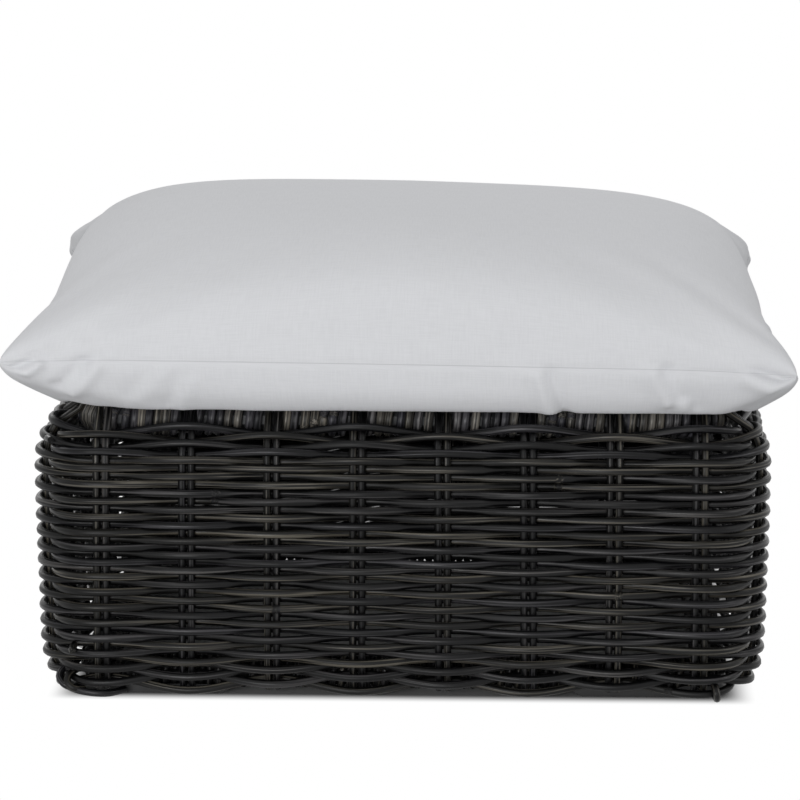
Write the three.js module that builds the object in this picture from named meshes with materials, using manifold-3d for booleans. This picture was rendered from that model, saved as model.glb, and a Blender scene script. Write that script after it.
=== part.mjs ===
// An outdoor ottoman footstool: a rounded square box of all-weather wicker, woven over double
// stakes on a hidden aluminium frame, with a loose knife-edge cushion on top.
// Millimetres, +Z up. The origin is the middle of the footprint, on the floor, and the front
// faces -Y.

import * as THREE from 'three';
import { mergeVertices } from 'three/addons/utils/BufferGeometryUtils.js';
import Module from 'manifold-3d';

const wasm = await Module();
wasm.setup();

// Fits

const touchGap = 0.3;
const softGap = 0.5;
const cutOverrun = 2;

// Woven base

const baseWidth = 700;
const baseDepth = 700;
const weaverSize = 6.8;
const rowSpacingTarget = 7.5;
const bottomRowHeight = 8;
const topRowHeight = 263;
const spliceGap = 3;
const weaveGap = 0.45;
const weaveCornerRadius = 48;
const cornerPointShares = [0.2, 0.8];
const weaversPerStrandFamily = 9;
const stakesAfterStep = 3;

// Wall profile: how far the wall tucks in, from the bottom row up to the top row

const bottomTuck = 16;
const bottomTuckRise = 46;
const topTuck = 12;
const topTuckDrop = 34;

// Stakes, in pairs

const stakeSize = 7;
const stakePairSpacing = 8.5;
const stakePitchTarget = 80.5;
const stakeToCornerClearance = 0.5;
const stakeFootBelowRow = 2;
const stakeTopAboveRow = 5;
const stakeEndDepthShare = 0.6;

// Frame tubes and the wrapping on them

const tubeDiameter = 20;
const tubeWall = 1.5;
const tubeSides = 8;
const frameCornerRadius = 34;
const frameCornerSteps = 3;
const topRailAboveTopRow = 1;
const bottomWrapGroundClearance = 3.5;
const wrapThickness = 7;
const wrapSides = 8;
const wrapBreak = 1;
const ventDiameter = 6;

// Deck slats under the cushion

const slatCount = 5;
const slatWidth = 30;
const slatThickness = 12;
const slatWall = 1.5;

// Floor glides and their screws

const glideLength = 118;
const glideWidth = 26;
const glideCradleDepth = 7.5;
const glideCentreFromSide = 128;
const glideChamferLength = 9;
const glideChamferHeight = 5;
const screwFromGlideEnd = 19;
const screwShankDiameter = 4;
const screwHeadDiameter = 8;
const screwHeadHeight = 1.4;
const screwHeadRecess = 0.4;
const screwReachInTube = 3;
const screwSides = 6;

// Cushion

const cushionOverhang = 20;
const cushionDrawIn = 27;
const cushionStraightShare = 0.66;
const cushionSeamRise = 42;
const cushionCrown = 126;
const cushionBelly = 75;
const cushionFullnessShare = 0.5;
const cushionFullnessPower = 4;
const cushionSteps = 12;
const coverThickness = 1.5;
const insertEdgeClearance = 26;
const insertTopClearance = 3;
const insertSteps = 8;

// Zip in the cushion's back seam

const zipSlotHeight = 9.2;
const zipTapeHeight = 22;
const zipTapeThickness = 1.2;
const zipTapeDepth = 10;
const zipTeethHeight = 4.4;
const sliderLength = 12;
const sliderPlateThickness = 1.7;
const sliderFlangeThickness = 1.5;
const sliderFlangeDepth = 4;
const sliderEndClearance = 10;
const sliderEarThickness = 1.2;
const sliderEarHeight = 4.4;
const sliderPinDiameter = 1.6;
const sliderPinReach = 3;
const pullEyeDiameter = 4.4;
const pullEyeBore = 2.4;
const pullEyeWidth = 6;
const pullLength = 24;
const pullThickness = 1.5;
const pullWidth = 7;
const pullTabShare = 0.5;
const smallRoundSides = 8;

// Sizes worked out from the ones above

const up = new THREE.Vector3(0, 0, 1);
const halfTurn = Math.PI;
const quarterTurn = Math.PI / 2;
const rowCount = Math.round((topRowHeight - bottomRowHeight) / rowSpacingTarget) + 1;
const rowSpacing = (topRowHeight - bottomRowHeight) / (rowCount - 1);
const stakePairHalf = (stakePairSpacing + stakeSize) / 2;
const wrapRadius = tubeDiameter / 2 + wrapThickness;
const topRailHeight = topRowHeight + topRailAboveTopRow;
const bottomRailHeight = bottomWrapGroundClearance + wrapRadius;
const rimTopHeight = topRailHeight + wrapRadius;
const glideHeight = bottomWrapGroundClearance + glideCradleDepth;
const glideCentreFromMiddle = baseWidth / 2 - glideCentreFromSide;
const cushionWidth = baseWidth + 2 * cushionOverhang;
const cushionDepth = baseDepth + 2 * cushionOverhang;
const zipLength = 2 * cushionStraightShare * (cushionWidth / 2 - cushionDrawIn);

const stakeFoot = bottomRowHeight - weaverSize / 2 - stakeFootBelowRow;
const stakeTop = topRowHeight + stakeTopAboveRow;

// The wall's tuck at a height, as straight runs between four heights

const tuckTable = [
  [stakeFoot, bottomTuck],
  [stakeFoot + bottomTuckRise, 0],
  [stakeTop - topTuckDrop, 0],
  [stakeTop, topTuck],
];

function tuckAt(height) {
  if (height <= tuckTable[0][0]) return tuckTable[0][1];
  for (let i = 1; i < tuckTable.length; i++) {
    const [low, lowTuck] = tuckTable[i - 1];
    const [high, highTuck] = tuckTable[i];
    if (height <= high) {
      return THREE.MathUtils.mapLinear(height, low, high, lowTuck, highTuck);
    }
  }
  return topTuck;
}

// How much the stake leans across one strand's height, either side of its middle

function leanAt(height) {
  const here = tuckAt(height);
  const above = Math.abs(tuckAt(height + weaverSize / 2) - here);
  const below = Math.abs(tuckAt(height - weaverSize / 2) - here);
  return Math.max(above, below);
}

// How far a weaver swings out and in of the stake line, to clear the stakes at a height

function swingAt(height, stakePitch) {
  const lean = leanAt(height);
  const slope = lean / (weaverSize / 2);
  const stakeHalf = (stakeSize / 2) * Math.hypot(1, slope);
  const clear = weaverSize / 2 + stakeHalf + lean + weaveGap;
  return clear / (1 - (2 * stakePairHalf) / stakePitch);
}

// The stake line: half sizes of the rounded rectangle that the stakes stand on

const widestSwing = (weaverSize / 2 + stakeSize / 2 + weaveGap)
  / (1 - (2 * stakePairHalf) / stakePitchTarget);
const stakeLineInset = weaverSize / 2 + widestSwing;
const stakeHalfX = baseWidth / 2 - stakeLineInset;
const stakeHalfY = baseDepth / 2 - stakeLineInset;

function stakePlaces(halfAlong) {
  const reach = halfAlong - weaveCornerRadius - stakePairHalf - stakeToCornerClearance;
  const bays = Math.max(1, Math.round((2 * reach) / stakePitchTarget));
  const pitch = (2 * reach) / bays;
  const places = [];
  for (let i = 0; i <= bays; i++) places.push(-reach + i * pitch);
  return { places, pitch };
}

// The four sides in the order that the weave runs: each has an outward direction, a direction
// along it, its stake line's distance out, and its stakes' places

function makeSide(name, outX, outY) {
  const out = new THREE.Vector3(outX, outY, 0);
  const along = new THREE.Vector3().crossVectors(up, out);
  const acrossX = outX !== 0;
  const { places, pitch } = stakePlaces(acrossX ? stakeHalfY : stakeHalfX);
  return {
    name, out, along, places, pitch,
    lineOut: acrossX ? stakeHalfX : stakeHalfY,
    lineAlong: acrossX ? stakeHalfY : stakeHalfX,
  };
}

const sides = [
  makeSide('back', 0, 1),
  makeSide('left', -1, 0),
  makeSide('front', 0, -1),
  makeSide('right', 1, 0),
];

// Where the frame's rails run: inside the innermost pass of the top row, clear of it by a gap

const tightestPitch = Math.min(...sides.map((side) => side.pitch));
const railInset = stakeLineInset + topTuck + swingAt(topRowHeight, tightestPitch)
  + weaverSize / 2 + softGap + wrapRadius;
const railHalfX = baseWidth / 2 - railInset;
const railHalfY = baseDepth / 2 - railInset;
const railCentreX = railHalfX - frameCornerRadius;
const railCentreY = railHalfY - frameCornerRadius;
const slatPitch = (2 * railHalfY) / (slatCount + 1);

// Geometry helpers

function closedGeometry(positions, indices) {
  const geometry = new THREE.BufferGeometry();
  geometry.setAttribute('position', new THREE.Float32BufferAttribute(positions, 3));
  geometry.setIndex(indices);
  return geometry;
}

function solidOf(geometry) {
  const plain = geometry.clone();
  plain.deleteAttribute('normal');
  plain.deleteAttribute('uv');
  const merged = mergeVertices(plain);
  return new wasm.Manifold(new wasm.Mesh({
    numProp: 3,
    vertProperties: new Float32Array(merged.attributes.position.array),
    triVerts: new Uint32Array(merged.index.array),
  }));
}

function geometryOf(solid) {
  const mesh = solid.getMesh();
  return closedGeometry(Array.from(mesh.vertProperties), Array.from(mesh.triVerts));
}

// A regular polygon section whose flats face the section's two directions

function polygonSection(apothem, sideCount) {
  const radius = apothem / Math.cos(halfTurn / sideCount);
  const points = [];
  for (let i = 0; i < sideCount; i++) {
    const angle = ((2 * i + 1) * halfTurn) / sideCount;
    points.push([radius * Math.cos(angle), radius * Math.sin(angle)]);
  }
  return points;
}

// A strand's section: flat on the inside, with a ridge outwards

function ridgedSection(across, tall) {
  return [[across / 2, 0], [-across / 2, tall / 2], [-across / 2, -tall / 2]];
}

function rectangleSection(across, tall) {
  const a = across / 2;
  const b = tall / 2;
  return [[a, -b], [a, b], [-a, b], [-a, -b]];
}

// A section swept along a path that turns about one fixed direction, with mitred corners

function sweep(path, turnAxis, section, closed = false) {
  const count = path.length;
  const sideways = (from, to) => {
    const run = new THREE.Vector3().subVectors(to, from).projectOnPlane(turnAxis).normalize();
    return run.cross(turnAxis);
  };
  const positions = [];
  path.forEach((point, i) => {
    const before = path[(i + count - 1) % count];
    const after = path[(i + 1) % count];
    const first = !closed && i === 0;
    const last = !closed && i === count - 1;
    const sideIn = first ? sideways(point, after) : sideways(before, point);
    const sideOut = last ? sideIn : sideways(point, after);
    const mitre = new THREE.Vector3().addVectors(sideIn, sideOut).normalize();
    mitre.divideScalar(mitre.dot(sideIn));
    for (const [a, b] of section) {
      const corner = point.clone().addScaledVector(mitre, a).addScaledVector(turnAxis, b);
      positions.push(corner.x, corner.y, corner.z);
    }
  });
  const ring = section.length;
  const indices = [];
  const spans = closed ? count : count - 1;
  for (let i = 0; i < spans; i++) {
    const here = i * ring;
    const next = ((i + 1) % count) * ring;
    for (let j = 0; j < ring; j++) {
      const k = (j + 1) % ring;
      indices.push(here + j, next + k, here + k, here + j, next + j, next + k);
    }
  }
  if (!closed) {
    const lastRing = (count - 1) * ring;
    for (let j = 1; j < ring - 1; j++) {
      indices.push(0, j, j + 1);
      indices.push(lastRing, lastRing + j + 1, lastRing + j);
    }
  }
  return closedGeometry(positions, indices);
}

function boxSolid(sizeX, sizeY, sizeZ, centre) {
  const box = new THREE.BoxGeometry(sizeX, sizeY, sizeZ);
  box.translate(centre.x, centre.y, centre.z);
  return solidOf(box);
}

// A round bar between two heights

function uprightSolid(radius, low, high, x, y, sideCount) {
  const bar = new THREE.CylinderGeometry(radius, radius, high - low, sideCount);
  bar.rotateX(quarterTurn);
  bar.translate(x, y, (low + high) / 2);
  return solidOf(bar);
}

// Frame

const frameCorners = [
  { name: 'back_left', x: -1, y: 1 },
  { name: 'front_left', x: -1, y: -1 },
  { name: 'front_right', x: 1, y: -1 },
  { name: 'back_right', x: 1, y: 1 },
];

// Rail points of one corner's arc, from one angle to another about the corner's centre

function cornerArc(corner, fromAngle, toAngle, height) {
  const points = [];
  for (let i = 0; i <= frameCornerSteps; i++) {
    const angle = THREE.MathUtils.lerp(fromAngle, toAngle, i / frameCornerSteps);
    points.push(new THREE.Vector3(
      corner.x * railCentreX + frameCornerRadius * Math.cos(angle),
      corner.y * railCentreY + frameCornerRadius * Math.sin(angle),
      height,
    ));
  }
  return points;
}

// The whole rail's path, which runs the same way round as the sides

function railPath(height) {
  const points = [];
  frameCorners.forEach((corner, i) => {
    const start = quarterTurn * (i + 1);
    points.push(...cornerArc(corner, start, start + quarterTurn, height));
  });
  return points;
}

function railBar(height, radius) {
  return solidOf(sweep(railPath(height), up, polygonSection(radius, tubeSides), true));
}

function postPlace(corner) {
  const reach = frameCornerRadius * Math.SQRT1_2;
  return { x: corner.x * (railCentreX + reach), y: corner.y * (railCentreY + reach) };
}

const topRailCutter = railBar(topRailHeight, tubeDiameter / 2 + touchGap);
const bottomRailCutter = railBar(bottomRailHeight, tubeDiameter / 2 + touchGap);

// Vents between the posts and the rails, drilled before welding

function ventHoles(low, high) {
  return frameCorners.map((corner) => {
    const place = postPlace(corner);
    return uprightSolid(ventDiameter / 2, low, high, place.x, place.y, smallRoundSides);
  });
}

function makeTopRail() {
  let rail = railBar(topRailHeight, tubeDiameter / 2);
  rail = rail.subtract(railBar(topRailHeight, tubeDiameter / 2 - tubeWall));
  for (const hole of ventHoles(topRailHeight - tubeDiameter, topRailHeight)) {
    rail = rail.subtract(hole);
  }
  return geometryOf(rail);
}

function makeBottomRail() {
  let rail = railBar(bottomRailHeight, tubeDiameter / 2);
  rail = rail.subtract(railBar(bottomRailHeight, tubeDiameter / 2 - tubeWall));
  for (const hole of ventHoles(bottomRailHeight, bottomRailHeight + tubeDiameter)) {
    rail = rail.subtract(hole);
  }
  for (const hole of screwClearances()) rail = rail.subtract(hole);
  return geometryOf(rail);
}

function makePost(corner) {
  const place = postPlace(corner);
  const outer = uprightSolid(tubeDiameter / 2, bottomRailHeight, topRailHeight,
    place.x, place.y, tubeSides);
  const bore = uprightSolid(tubeDiameter / 2 - tubeWall, bottomRailHeight - cutOverrun,
    topRailHeight + cutOverrun, place.x, place.y, tubeSides);
  return geometryOf(outer.subtract(bore).subtract(topRailCutter).subtract(bottomRailCutter));
}

function postClearances() {
  return frameCorners.map((corner) => {
    const place = postPlace(corner);
    return uprightSolid(tubeDiameter / 2 + touchGap, bottomRailHeight, topRailHeight,
      place.x, place.y, tubeSides);
  });
}

// Deck slats: open rectangular tubes across the base, welded to the top rail at both ends

function slatPlace(index) {
  return (index - (slatCount - 1) / 2) * slatPitch;
}

function makeSlat(index) {
  const centre = new THREE.Vector3(0, slatPlace(index), topRailHeight);
  const outer = boxSolid(2 * railHalfX, slatWidth, slatThickness, centre);
  const bore = boxSolid(2 * railHalfX + 2 * cutOverrun, slatWidth - 2 * slatWall,
    slatThickness - 2 * slatWall, centre);
  return geometryOf(outer.subtract(bore).subtract(topRailCutter));
}

function slatClearances() {
  const holes = [];
  for (let i = 0; i < slatCount; i++) {
    const centre = new THREE.Vector3(0, slatPlace(i), topRailHeight);
    holes.push(boxSolid(2 * railHalfX, slatWidth + 2 * touchGap,
      slatThickness + 2 * touchGap, centre));
  }
  return holes;
}

// Floor glides: flat blocks under the bottom wrapping, each held by two screws into the rail

function glidePlaces() {
  return [
    { name: 'front_left', x: -glideCentreFromMiddle, y: -railHalfY },
    { name: 'front_right', x: glideCentreFromMiddle, y: -railHalfY },
    { name: 'back_left', x: -glideCentreFromMiddle, y: railHalfY },
    { name: 'back_right', x: glideCentreFromMiddle, y: railHalfY },
  ];
}

function screwPlaces(glide) {
  const reach = glideLength / 2 - screwFromGlideEnd;
  return [glide.x - reach, glide.x + reach];
}

function screwClearances() {
  const holes = [];
  for (const glide of glidePlaces()) {
    for (const x of screwPlaces(glide)) {
      holes.push(uprightSolid(screwShankDiameter / 2 + touchGap, -cutOverrun,
        bottomRailHeight, x, glide.y, screwSides));
    }
  }
  return holes;
}

function makeGlide(glide) {
  const end = glideLength / 2;
  const outline = new THREE.Shape([
    new THREE.Vector2(-end + glideChamferLength, 0),
    new THREE.Vector2(end - glideChamferLength, 0),
    new THREE.Vector2(end, glideChamferHeight),
    new THREE.Vector2(end, glideHeight),
    new THREE.Vector2(-end, glideHeight),
    new THREE.Vector2(-end, glideChamferHeight),
  ]);
  const block = new THREE.ExtrudeGeometry(outline, { depth: glideWidth, bevelEnabled: false });
  block.rotateX(quarterTurn);
  block.translate(glide.x, glide.y + glideWidth / 2, 0);
  let solid = solidOf(block).subtract(wrapBar(bottomRailHeight, wrapRadius + touchGap));
  const headTop = screwHeadRecess + screwHeadHeight + touchGap;
  for (const x of screwPlaces(glide)) {
    solid = solid.subtract(uprightSolid(screwHeadDiameter / 2 + touchGap, -cutOverrun,
      headTop, x, glide.y, screwSides));
    solid = solid.subtract(uprightSolid(screwShankDiameter / 2 + touchGap, 0,
      bottomRailHeight, x, glide.y, screwSides));
  }
  return geometryOf(solid);
}

function makeScrew(x, y) {
  const headTop = screwHeadRecess + screwHeadHeight;
  const tip = bottomRailHeight - tubeDiameter / 2 + screwReachInTube;
  const screw = new THREE.LatheGeometry([
    new THREE.Vector2(0, screwHeadRecess),
    new THREE.Vector2(screwHeadDiameter / 2, screwHeadRecess),
    new THREE.Vector2(screwHeadDiameter / 2, headTop),
    new THREE.Vector2(screwShankDiameter / 2, headTop),
    new THREE.Vector2(screwShankDiameter / 2, tip - screwShankDiameter / 2),
    new THREE.Vector2(0, tip),
  ], screwSides);
  screw.rotateX(quarterTurn);
  screw.translate(x, y, 0);
  return geometryOf(solidOf(screw));
}

// Wrapping on the rails

function wrapBar(height, radius) {
  return solidOf(sweep(railPath(height), up, polygonSection(radius, wrapSides), true));
}

function makeBottomWrap() {
  let wrap = wrapBar(bottomRailHeight, wrapRadius);
  wrap = wrap.subtract(bottomRailCutter);
  for (const hole of postClearances()) wrap = wrap.subtract(hole);
  for (const hole of screwClearances()) wrap = wrap.subtract(hole);
  const seam = new THREE.Vector3(0, railHalfY, bottomRailHeight);
  const seamDepth = 2 * wrapRadius + cutOverrun;
  wrap = wrap.subtract(boxSolid(wrapBreak, seamDepth, seamDepth, seam));
  return geometryOf(wrap);
}

// One side's top wrapping runs from the middle of one corner to the middle of the next

function topWrapOf(side) {
  const reach = railCentreX + railCentreY + 2 * wrapRadius;
  const middleAngle = Math.atan2(side.out.y, side.out.x);
  const wedge = new THREE.Shape([
    new THREE.Vector2(0, 0),
    new THREE.Vector2(reach, -reach * (side.lineAlong / side.lineOut)),
    new THREE.Vector2(reach, reach * (side.lineAlong / side.lineOut)),
  ]);
  const quarter = new THREE.ExtrudeGeometry(wedge, {
    depth: 2 * wrapRadius + 2 * cutOverrun, bevelEnabled: false,
  });
  quarter.translate(touchGap, 0, topRailHeight - wrapRadius - cutOverrun);
  quarter.rotateZ(middleAngle);
  return wrapBar(topRailHeight, wrapRadius).intersect(solidOf(quarter));
}

// Stakes of one side, joined to that side's top wrapping, whose strands they are

function stakePath(side, place) {
  const at = (height, outward) => new THREE.Vector3()
    .addScaledVector(side.along, place)
    .addScaledVector(side.out, outward)
    .addScaledVector(up, height);
  const path = tuckTable.map(([height, tuck]) => at(height, side.lineOut - tuck));
  const endDepth = wrapRadius * stakeEndDepthShare;
  path.push(at(topRailHeight + endDepth, railOutOf(side) + endDepth));
  return path;
}

function railOutOf(side) {
  return side.out.x !== 0 ? railHalfX : railHalfY;
}

function makeStakePanel(side) {
  let panel = topWrapOf(side);
  const section = rectangleSection(stakeSize, stakeSize);
  for (const place of side.places) {
    for (const shift of [-stakePairSpacing / 2, stakePairSpacing / 2]) {
      panel = panel.add(solidOf(sweep(stakePath(side, place + shift), side.along, section)));
    }
  }
  panel = panel.subtract(topRailCutter);
  for (const hole of [...postClearances(), ...slatClearances()]) panel = panel.subtract(hole);
  return geometryOf(panel);
}

// Weavers: each strand passes outside one pair of stakes and inside the next, all round

function passSide(turn) {
  return turn % 2 === 0 ? -1 : 1;
}

function weaveStations() {
  const stations = [];
  let turn = 0;
  sides.forEach((side, i) => {
    for (const place of side.places) {
      stations.push({ side, place, swingSide: passSide(turn) });
      turn += 1;
    }
    const nextSide = sides[(i + 1) % sides.length];
    const leaving = passSide(turn - 1);
    for (const share of cornerPointShares) {
      stations.push({ side, nextSide, share, swingSide: leaving * Math.cos(halfTurn * share) });
    }
  });
  const firstAfterStep = sides[0].places.length - stakesAfterStep;
  return [...stations.slice(firstAfterStep), ...stations.slice(0, firstAfterStep)];
}

function stationPoint(station, height, family) {
  const { side } = station;
  const swing = swingAt(height, side.pitch) * station.swingSide * (family === 0 ? 1 : -1);
  const outward = swing - tuckAt(height);
  if (station.nextSide === undefined) {
    return new THREE.Vector3()
      .addScaledVector(side.along, station.place)
      .addScaledVector(side.out, side.lineOut + outward)
      .addScaledVector(up, height);
  }
  const angle = station.share * quarterTurn;
  const direction = new THREE.Vector3()
    .addScaledVector(side.out, Math.cos(angle))
    .addScaledVector(side.along, Math.sin(angle));
  return new THREE.Vector3()
    .addScaledVector(side.out, side.lineOut - weaveCornerRadius)
    .addScaledVector(side.along, side.lineAlong - weaveCornerRadius)
    .addScaledVector(direction, weaveCornerRadius + outward)
    .addScaledVector(up, height);
}

// One strand: whole turns at level rows, with a drop of two rows in the bay between turns

function weaverPath(stations, family, firstTurn, lastTurn, turnsInFamily) {
  const heightOf = (turn) => topRowHeight - (2 * turn + family) * rowSpacing;
  const path = [];
  for (let turn = firstTurn; turn <= lastTurn; turn++) {
    for (const station of stations) path.push(stationPoint(station, heightOf(turn), family));
  }
  if (lastTurn + 1 < turnsInFamily) {
    const target = stationPoint(stations[0], heightOf(lastTurn + 1), family);
    const from = path[path.length - 1];
    const run = new THREE.Vector3().subVectors(target, from);
    run.setLength(run.length() - spliceGap);
    path.push(from.clone().add(run));
  }
  return path;
}

// Cushion: a crowned pillow with drawn-in sides, its top and bottom met at one seam

const cushionBottomHeight = rimTopHeight + softGap;
const seamHeight = cushionBottomHeight + cushionSeamRise;

function drawnIn(share) {
  const past = Math.max(0, Math.abs(share) - cushionStraightShare) / (1 - cushionStraightShare);
  return 1 - past * past;
}

function fullness(u, v) {
  const across = 1 - Math.abs(u) ** cushionFullnessPower;
  const along = 1 - Math.abs(v) ** cushionFullnessPower;
  return Math.max(0, across * along) ** cushionFullnessShare;
}

function pillow(steps, halfX, halfY, crown, belly, floorHeight) {
  const positions = [];
  const indices = [];
  const topOf = [];
  const bottomOf = [];
  const spread = (i) => Math.sin(quarterTurn * ((2 * i) / steps - 1));
  const place = (i, j, height) => {
    const u = spread(i);
    const v = spread(j);
    positions.push(u * (halfX - cushionDrawIn * drawnIn(v)),
      v * (halfY - cushionDrawIn * drawnIn(u)), height);
    return positions.length / 3 - 1;
  };
  for (let i = 0; i <= steps; i++) {
    for (let j = 0; j <= steps; j++) {
      const rise = fullness(spread(i), spread(j));
      const rim = i === 0 || j === 0 || i === steps || j === steps;
      const top = place(i, j, rim ? seamHeight : seamHeight + crown * rise);
      const low = Math.max(floorHeight, seamHeight - belly * rise);
      topOf.push(top);
      bottomOf.push(rim ? top : place(i, j, low));
    }
  }
  const cell = (grid, i, j) => grid[i * (steps + 1) + j];
  for (let i = 0; i < steps; i++) {
    for (let j = 0; j < steps; j++) {
      const corners = (grid) => [cell(grid, i, j), cell(grid, i + 1, j),
        cell(grid, i + 1, j + 1), cell(grid, i, j + 1)];
      const [a, b, c, d] = corners(topOf);
      const [e, f, g, h] = corners(bottomOf);
      if ((i < steps / 2) === (j < steps / 2)) {
        indices.push(a, b, c, a, c, d, e, g, f, e, h, g);
      } else {
        indices.push(a, b, d, b, c, d, e, h, f, f, h, g);
      }
    }
  }
  return solidOf(closedGeometry(positions, indices));
}

// The zip lies in the straight stretch of the back seam

const backSeamY = cushionDepth / 2 - cushionDrawIn;

function zipBox(sizeX, sizeY, sizeZ, shiftX, nearY) {
  return boxSolid(sizeX, sizeY, sizeZ, new THREE.Vector3(shiftX, nearY + sizeY / 2, seamHeight));
}

// The room inside the cover, or as much of it as keeps a clearance to the cloth

function coverRoom(clearance) {
  const wall = 2 * coverThickness + clearance;
  return pillow(cushionSteps, cushionWidth / 2 - wall, cushionDepth / 2 - wall,
    cushionCrown - wall, cushionBelly - wall, cushionBottomHeight + coverThickness + clearance);
}

function makeCover() {
  const outer = pillow(cushionSteps, cushionWidth / 2, cushionDepth / 2, cushionCrown,
    cushionBelly, cushionBottomHeight);
  const slot = zipBox(zipLength + 2 * touchGap, zipTapeDepth + 2 * cutOverrun, zipSlotHeight,
    0, backSeamY - zipTapeDepth - cutOverrun);
  return geometryOf(outer.subtract(coverRoom(0)).subtract(slot));
}

function makeInsert() {
  const halfX = cushionWidth / 2 - insertEdgeClearance;
  const halfY = cushionDepth / 2 - insertEdgeClearance;
  return geometryOf(pillow(insertSteps, halfX, halfY, cushionCrown - insertTopClearance
    - 2 * coverThickness, cushionBelly - insertTopClearance,
  cushionBottomHeight + coverThickness + touchGap));
}

function makeZipChain() {
  const tapeNear = backSeamY - zipTapeDepth;
  const tape = zipBox(zipLength, zipTapeThickness, zipTapeHeight, 0, tapeNear);
  const teeth = zipBox(zipLength, zipTapeDepth, zipTeethHeight, 0, tapeNear);
  return geometryOf(tape.intersect(coverRoom(touchGap)).add(teeth));
}

const sliderRestX = -(zipLength / 2 - sliderEndClearance - sliderLength / 2);
const sliderNearY = backSeamY + touchGap;
const sliderPinY = sliderNearY + sliderPlateThickness + sliderPinReach;

function barAlongX(radius, length, centreX, centreY) {
  const bar = new THREE.CylinderGeometry(radius, radius, length, smallRoundSides);
  bar.rotateZ(quarterTurn);
  bar.translate(centreX, centreY, seamHeight);
  return solidOf(bar);
}

function makeSlider() {
  const flangeOffset = zipTeethHeight / 2 + touchGap + sliderFlangeThickness / 2;
  let slider = zipBox(sliderLength, sliderPlateThickness,
    2 * flangeOffset + sliderFlangeThickness, sliderRestX, sliderNearY);
  for (const sign of [-1, 1]) {
    slider = slider.add(boxSolid(sliderLength, sliderFlangeDepth + sliderPlateThickness,
      sliderFlangeThickness, new THREE.Vector3(sliderRestX,
        sliderNearY + (sliderPlateThickness - sliderFlangeDepth) / 2,
        seamHeight + sign * flangeOffset)));
    const earShift = sign * (pullEyeWidth / 2 + touchGap + sliderEarThickness / 2);
    slider = slider.add(zipBox(sliderEarThickness, sliderPlateThickness + sliderPinReach
      + sliderPinDiameter, sliderEarHeight, sliderRestX + earShift, sliderNearY));
  }
  const pinLength = pullEyeWidth + 2 * touchGap + sliderEarThickness;
  return geometryOf(slider.add(barAlongX(sliderPinDiameter / 2, pinLength, sliderRestX,
    sliderPinY)));
}

function makePull() {
  const eye = barAlongX(pullEyeDiameter / 2, pullEyeWidth, sliderRestX, sliderPinY);
  const neck = boxSolid(pullEyeWidth, pullThickness, pullLength, new THREE.Vector3(sliderRestX,
    sliderPinY, seamHeight - pullLength / 2));
  const tabLength = pullLength * pullTabShare;
  const tab = boxSolid(pullWidth, pullThickness, tabLength, new THREE.Vector3(sliderRestX,
    sliderPinY, seamHeight - pullLength + tabLength / 2));
  const bore = barAlongX(pullEyeBore / 2, pullEyeWidth + cutOverrun, sliderRestX, sliderPinY);
  return geometryOf(eye.add(neck).add(tab).subtract(bore));
}

// Finishes

const finishes = {
  wicker: { color: 0x33322f, roughness: 0.42, metalness: 0 },
  aluminium: { color: 0x2b2b2c, roughness: 0.6, metalness: 0.1 },
  glide: { color: 0x0e0e0e, roughness: 0.55, metalness: 0 },
  screw: { color: 0xb6b7b8, roughness: 0.35, metalness: 1 },
  cover: { color: 0xd2d3d5, roughness: 0.95, metalness: 0 },
  insert: { color: 0xf2f1ec, roughness: 1, metalness: 0 },
  zip: { color: 0xc9cacc, roughness: 0.6, metalness: 0 },
};

const ottoman = new THREE.Group();

function place(name, geometry, finish) {
  const mesh = new THREE.Mesh(geometry, new THREE.MeshStandardMaterial(finishes[finish]));
  mesh.name = name;
  ottoman.add(mesh);
}

function addFrame() {
  place('top_rail', makeTopRail(), 'aluminium');
  place('bottom_rail', makeBottomRail(), 'aluminium');
  for (const corner of frameCorners) place(`post_${corner.name}`, makePost(corner), 'aluminium');
  for (let i = 0; i < slatCount; i++) place(`deck_slat_${i + 1}`, makeSlat(i), 'aluminium');
}

function addGlides() {
  for (const glide of glidePlaces()) {
    place(`glide_${glide.name}`, makeGlide(glide), 'glide');
    screwPlaces(glide).forEach((x, i) => {
      place(`glide_screw_${glide.name}_${i + 1}`, makeScrew(x, glide.y), 'screw');
    });
  }
}

function addWicker() {
  place('bottom_rail_wrap', makeBottomWrap(), 'wicker');
  for (const side of sides) place(`stakes_${side.name}`, makeStakePanel(side), 'wicker');
  const stations = weaveStations();
  const section = ridgedSection(weaverSize, weaverSize);
  for (const family of [0, 1]) {
    const turns = Math.floor((rowCount - 1 - family) / 2) + 1;
    const turnsEach = Math.ceil(turns / weaversPerStrandFamily);
    for (let first = 0; first < turns; first += turnsEach) {
      const last = Math.min(first + turnsEach, turns) - 1;
      const path = weaverPath(stations, family, first, last, turns);
      const number = String(first / turnsEach + 1).padStart(2, '0');
      const letter = family === 0 ? 'a' : 'b';
      place(`weaver_${letter}_${number}`, sweep(path, up, section), 'wicker');
    }
  }
}

function addCushion() {
  place('cushion_cover', makeCover(), 'cover');
  place('cushion_insert', makeInsert(), 'insert');
  place('zip_chain', makeZipChain(), 'zip');
  place('zip_slider', makeSlider(), 'screw');
  place('zip_pull', makePull(), 'screw');
}

addFrame();
addGlides();
addWicker();
addCushion();

export default ottoman;
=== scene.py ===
"""The looks of an outdoor ottoman footstool: round-strand wicker woven over paired stakes on a
tube frame, and a knife-edge canvas cushion. Metres, +Z up, front faces -Y."""

import math
import random

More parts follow.
